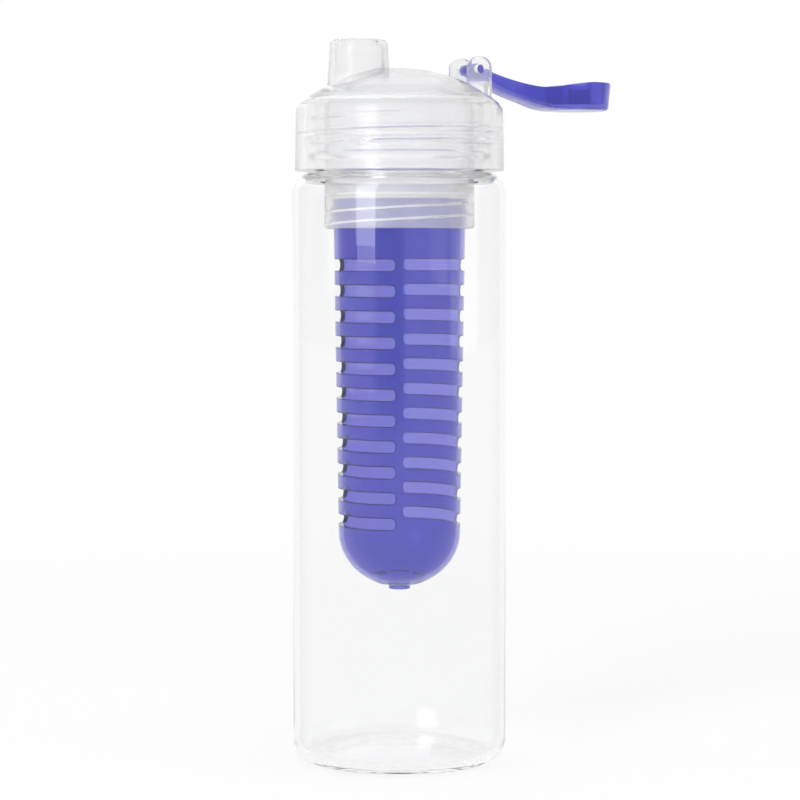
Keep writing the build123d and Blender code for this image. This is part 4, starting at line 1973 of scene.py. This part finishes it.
@dataclass
class Studio:
    """White studio: a pale floor, painted surroundings and soft lamps, seen by one camera.

    Its sizes are in metres.
    """

    floor_r: float = 6.0
    floor_z: float = -0.0002
    floor_sides: int = 96
    floor_paint: float = 0.42
    floor_glow: float = 0.635
    floor_roughness: float = 0.9
    near_r: float = 0.12
    far_r: float = 0.9
    room_level: float = 0.64
    wall_level: float = 0.6
    wall_limits: tuple[float, float] = (0.15, 0.8)
    wall_along: tuple[float, float] = (0.4694, 0.883)
    lamps: tuple[Lamp, ...] = (
        Lamp("key", (-0.98, -0.47, 0.65), (0.46, 0.9), 5.8),
        Lamp("fill", (0.8, -0.75, 0.5), (0.8, 0.8), 1.8),
        Lamp("back", (0.25, 0.9, 0.75), (0.8, 0.8), 0.5),
    )
    camera_place: tuple[float, float, float] = (-0.4007, -0.7528, 0.1773)
    camera_aim: tuple[float, float, float] = (0.0, 0.0, 0.1351)
    camera_lens: float = 111.4
    camera_shift: tuple[float, float] = (0.0007, -0.04)
    light_bounces: int = 28

    def build(self) -> None:
        """Set up the floor, the surroundings, the lamps and the camera."""
        bpy.context.scene.view_settings.view_transform = "Standard"
        paths = bpy.context.scene.cycles
        paths.max_bounces = paths.transmission_bounces = self.light_bounces
        paths.glossy_bounces = paths.transparent_max_bounces = self.light_bounces
        self._floor()
        self._surroundings()
        for lamp in self.lamps:
            lamp.build()
        self._camera()

    def _floor(self) -> None:
        """Add the pale floor, which fades to white away from the object."""
        clear_selection()
        bpy.ops.mesh.primitive_circle_add(
            vertices=self.floor_sides, radius=self.floor_r, fill_type="NGON", location=(0, 0, self.floor_z)
        )
        floor = bpy.context.object
        floor.name = "floor"
        place_in_mesh(floor)
        edit(floor)
        bpy.ops.mesh.select_all(action="SELECT")
        bpy.ops.mesh.inset(thickness=self.floor_r - self.far_r)
        bpy.ops.object.mode_set(mode="OBJECT")
        made = bpy.data.materials.new("studio_floor")
        made.use_nodes = True
        tree = made.node_tree
        place = tree.nodes.new("ShaderNodeTexCoord").outputs["Object"]
        fade = smooth_step(tree, vector_calc(tree, "LENGTH", place), (self.near_r, self.far_r))
        values = {
            "Base Color": calc(tree, "MULTIPLY_ADD", fade, -self.floor_paint, self.floor_paint),
            "Roughness": self.floor_roughness,
            "Specular IOR Level": 0.0,
            "Emission Color": WHITE,
            "Emission Strength": calc(tree, "MULTIPLY_ADD", fade, 1 - self.floor_glow, self.floor_glow),
        }
        for label, value in values.items():
            feed(tree, tree.nodes["Principled BSDF"].inputs[label], value)
        floor.data.materials.append(made)

    def _surroundings(self) -> None:
        """Make it white behind the object for the camera, with painted walls for what is seen in it."""
        world = bpy.data.worlds.new("studio")
        world.use_nodes = True
        bpy.context.scene.world = world
        tree = world.node_tree
        path = tree.nodes.new("ShaderNodeLightPath").outputs
        seen = calc(tree, "MAXIMUM", path["Is Glossy Ray"], path["Is Transmission Ray"])
        above_room = calc(tree, "SUBTRACT", self._painted_walls(tree), self.room_level)
        soft = calc(tree, "MULTIPLY_ADD", seen, above_room, self.room_level)
        level = calc(tree, "MULTIPLY_ADD", path["Is Camera Ray"], calc(tree, "SUBTRACT", 1.0, soft), soft)
        shader = tree.nodes["Background"]
        shader.inputs["Color"].default_value = WHITE
        tree.links.new(level, shader.inputs["Strength"])

    def _painted_walls(self, tree: bpy.types.NodeTree) -> bpy.types.NodeSocket:
        """Paint the walls by their direction: white ahead and behind, greyer to the sides and above.

        Args:
            tree: Tree of the world.

        Returns:
            Their brightness.
        """
        x, y, _ = axes(tree, tree.nodes.new("ShaderNodeTexCoord").outputs["Generated"])
        along_x = calc(tree, "MULTIPLY", x, self.wall_along[0])
        along = calc(tree, "MULTIPLY_ADD", y, self.wall_along[1], along_x)
        return smooth_step(tree, calc(tree, "ABSOLUTE", along), self.wall_limits, self.wall_level)

    def _camera(self) -> None:
        """Add the camera and take the picture through it."""
        clear_selection()
        bpy.ops.object.camera_add(location=self.camera_place)
        camera = bpy.context.object
        camera.name = "view"
        camera.data.lens = self.camera_lens
        camera.data.shift_x, camera.data.shift_y = self.camera_shift
        camera.rotation_euler = turned_to(self.camera_place, self.camera_aim)
        bpy.context.scene.camera = camera


def write_sizes() -> None:
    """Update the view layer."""
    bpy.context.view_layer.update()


def main() -> None:
    """Build every sub-assembly and the studio."""
    logging.basicConfig(level=logging.INFO, format="%(name)s: %(message)s")
    Studio().build()
    Bottle().build()
    SoftRing(
        "gasket", Body.GASKET, "lid_gasket", inner_r=26.15, outer_r=30.6, low_z=225.1, high_z=226.5
    ).build()
    ScrewLid().build()
    SoftRing(
        "infuser_seal_ring",
        Body.SEAL,
        "infuser_seal",
        inner_r=21.6,
        outer_r=23.1,
        low_z=193.35,
        high_z=194.35,
    ).build()
    Infuser().build()
    FlipCap().build()
    write_sizes()


if __name__ == "__main__":
    main()
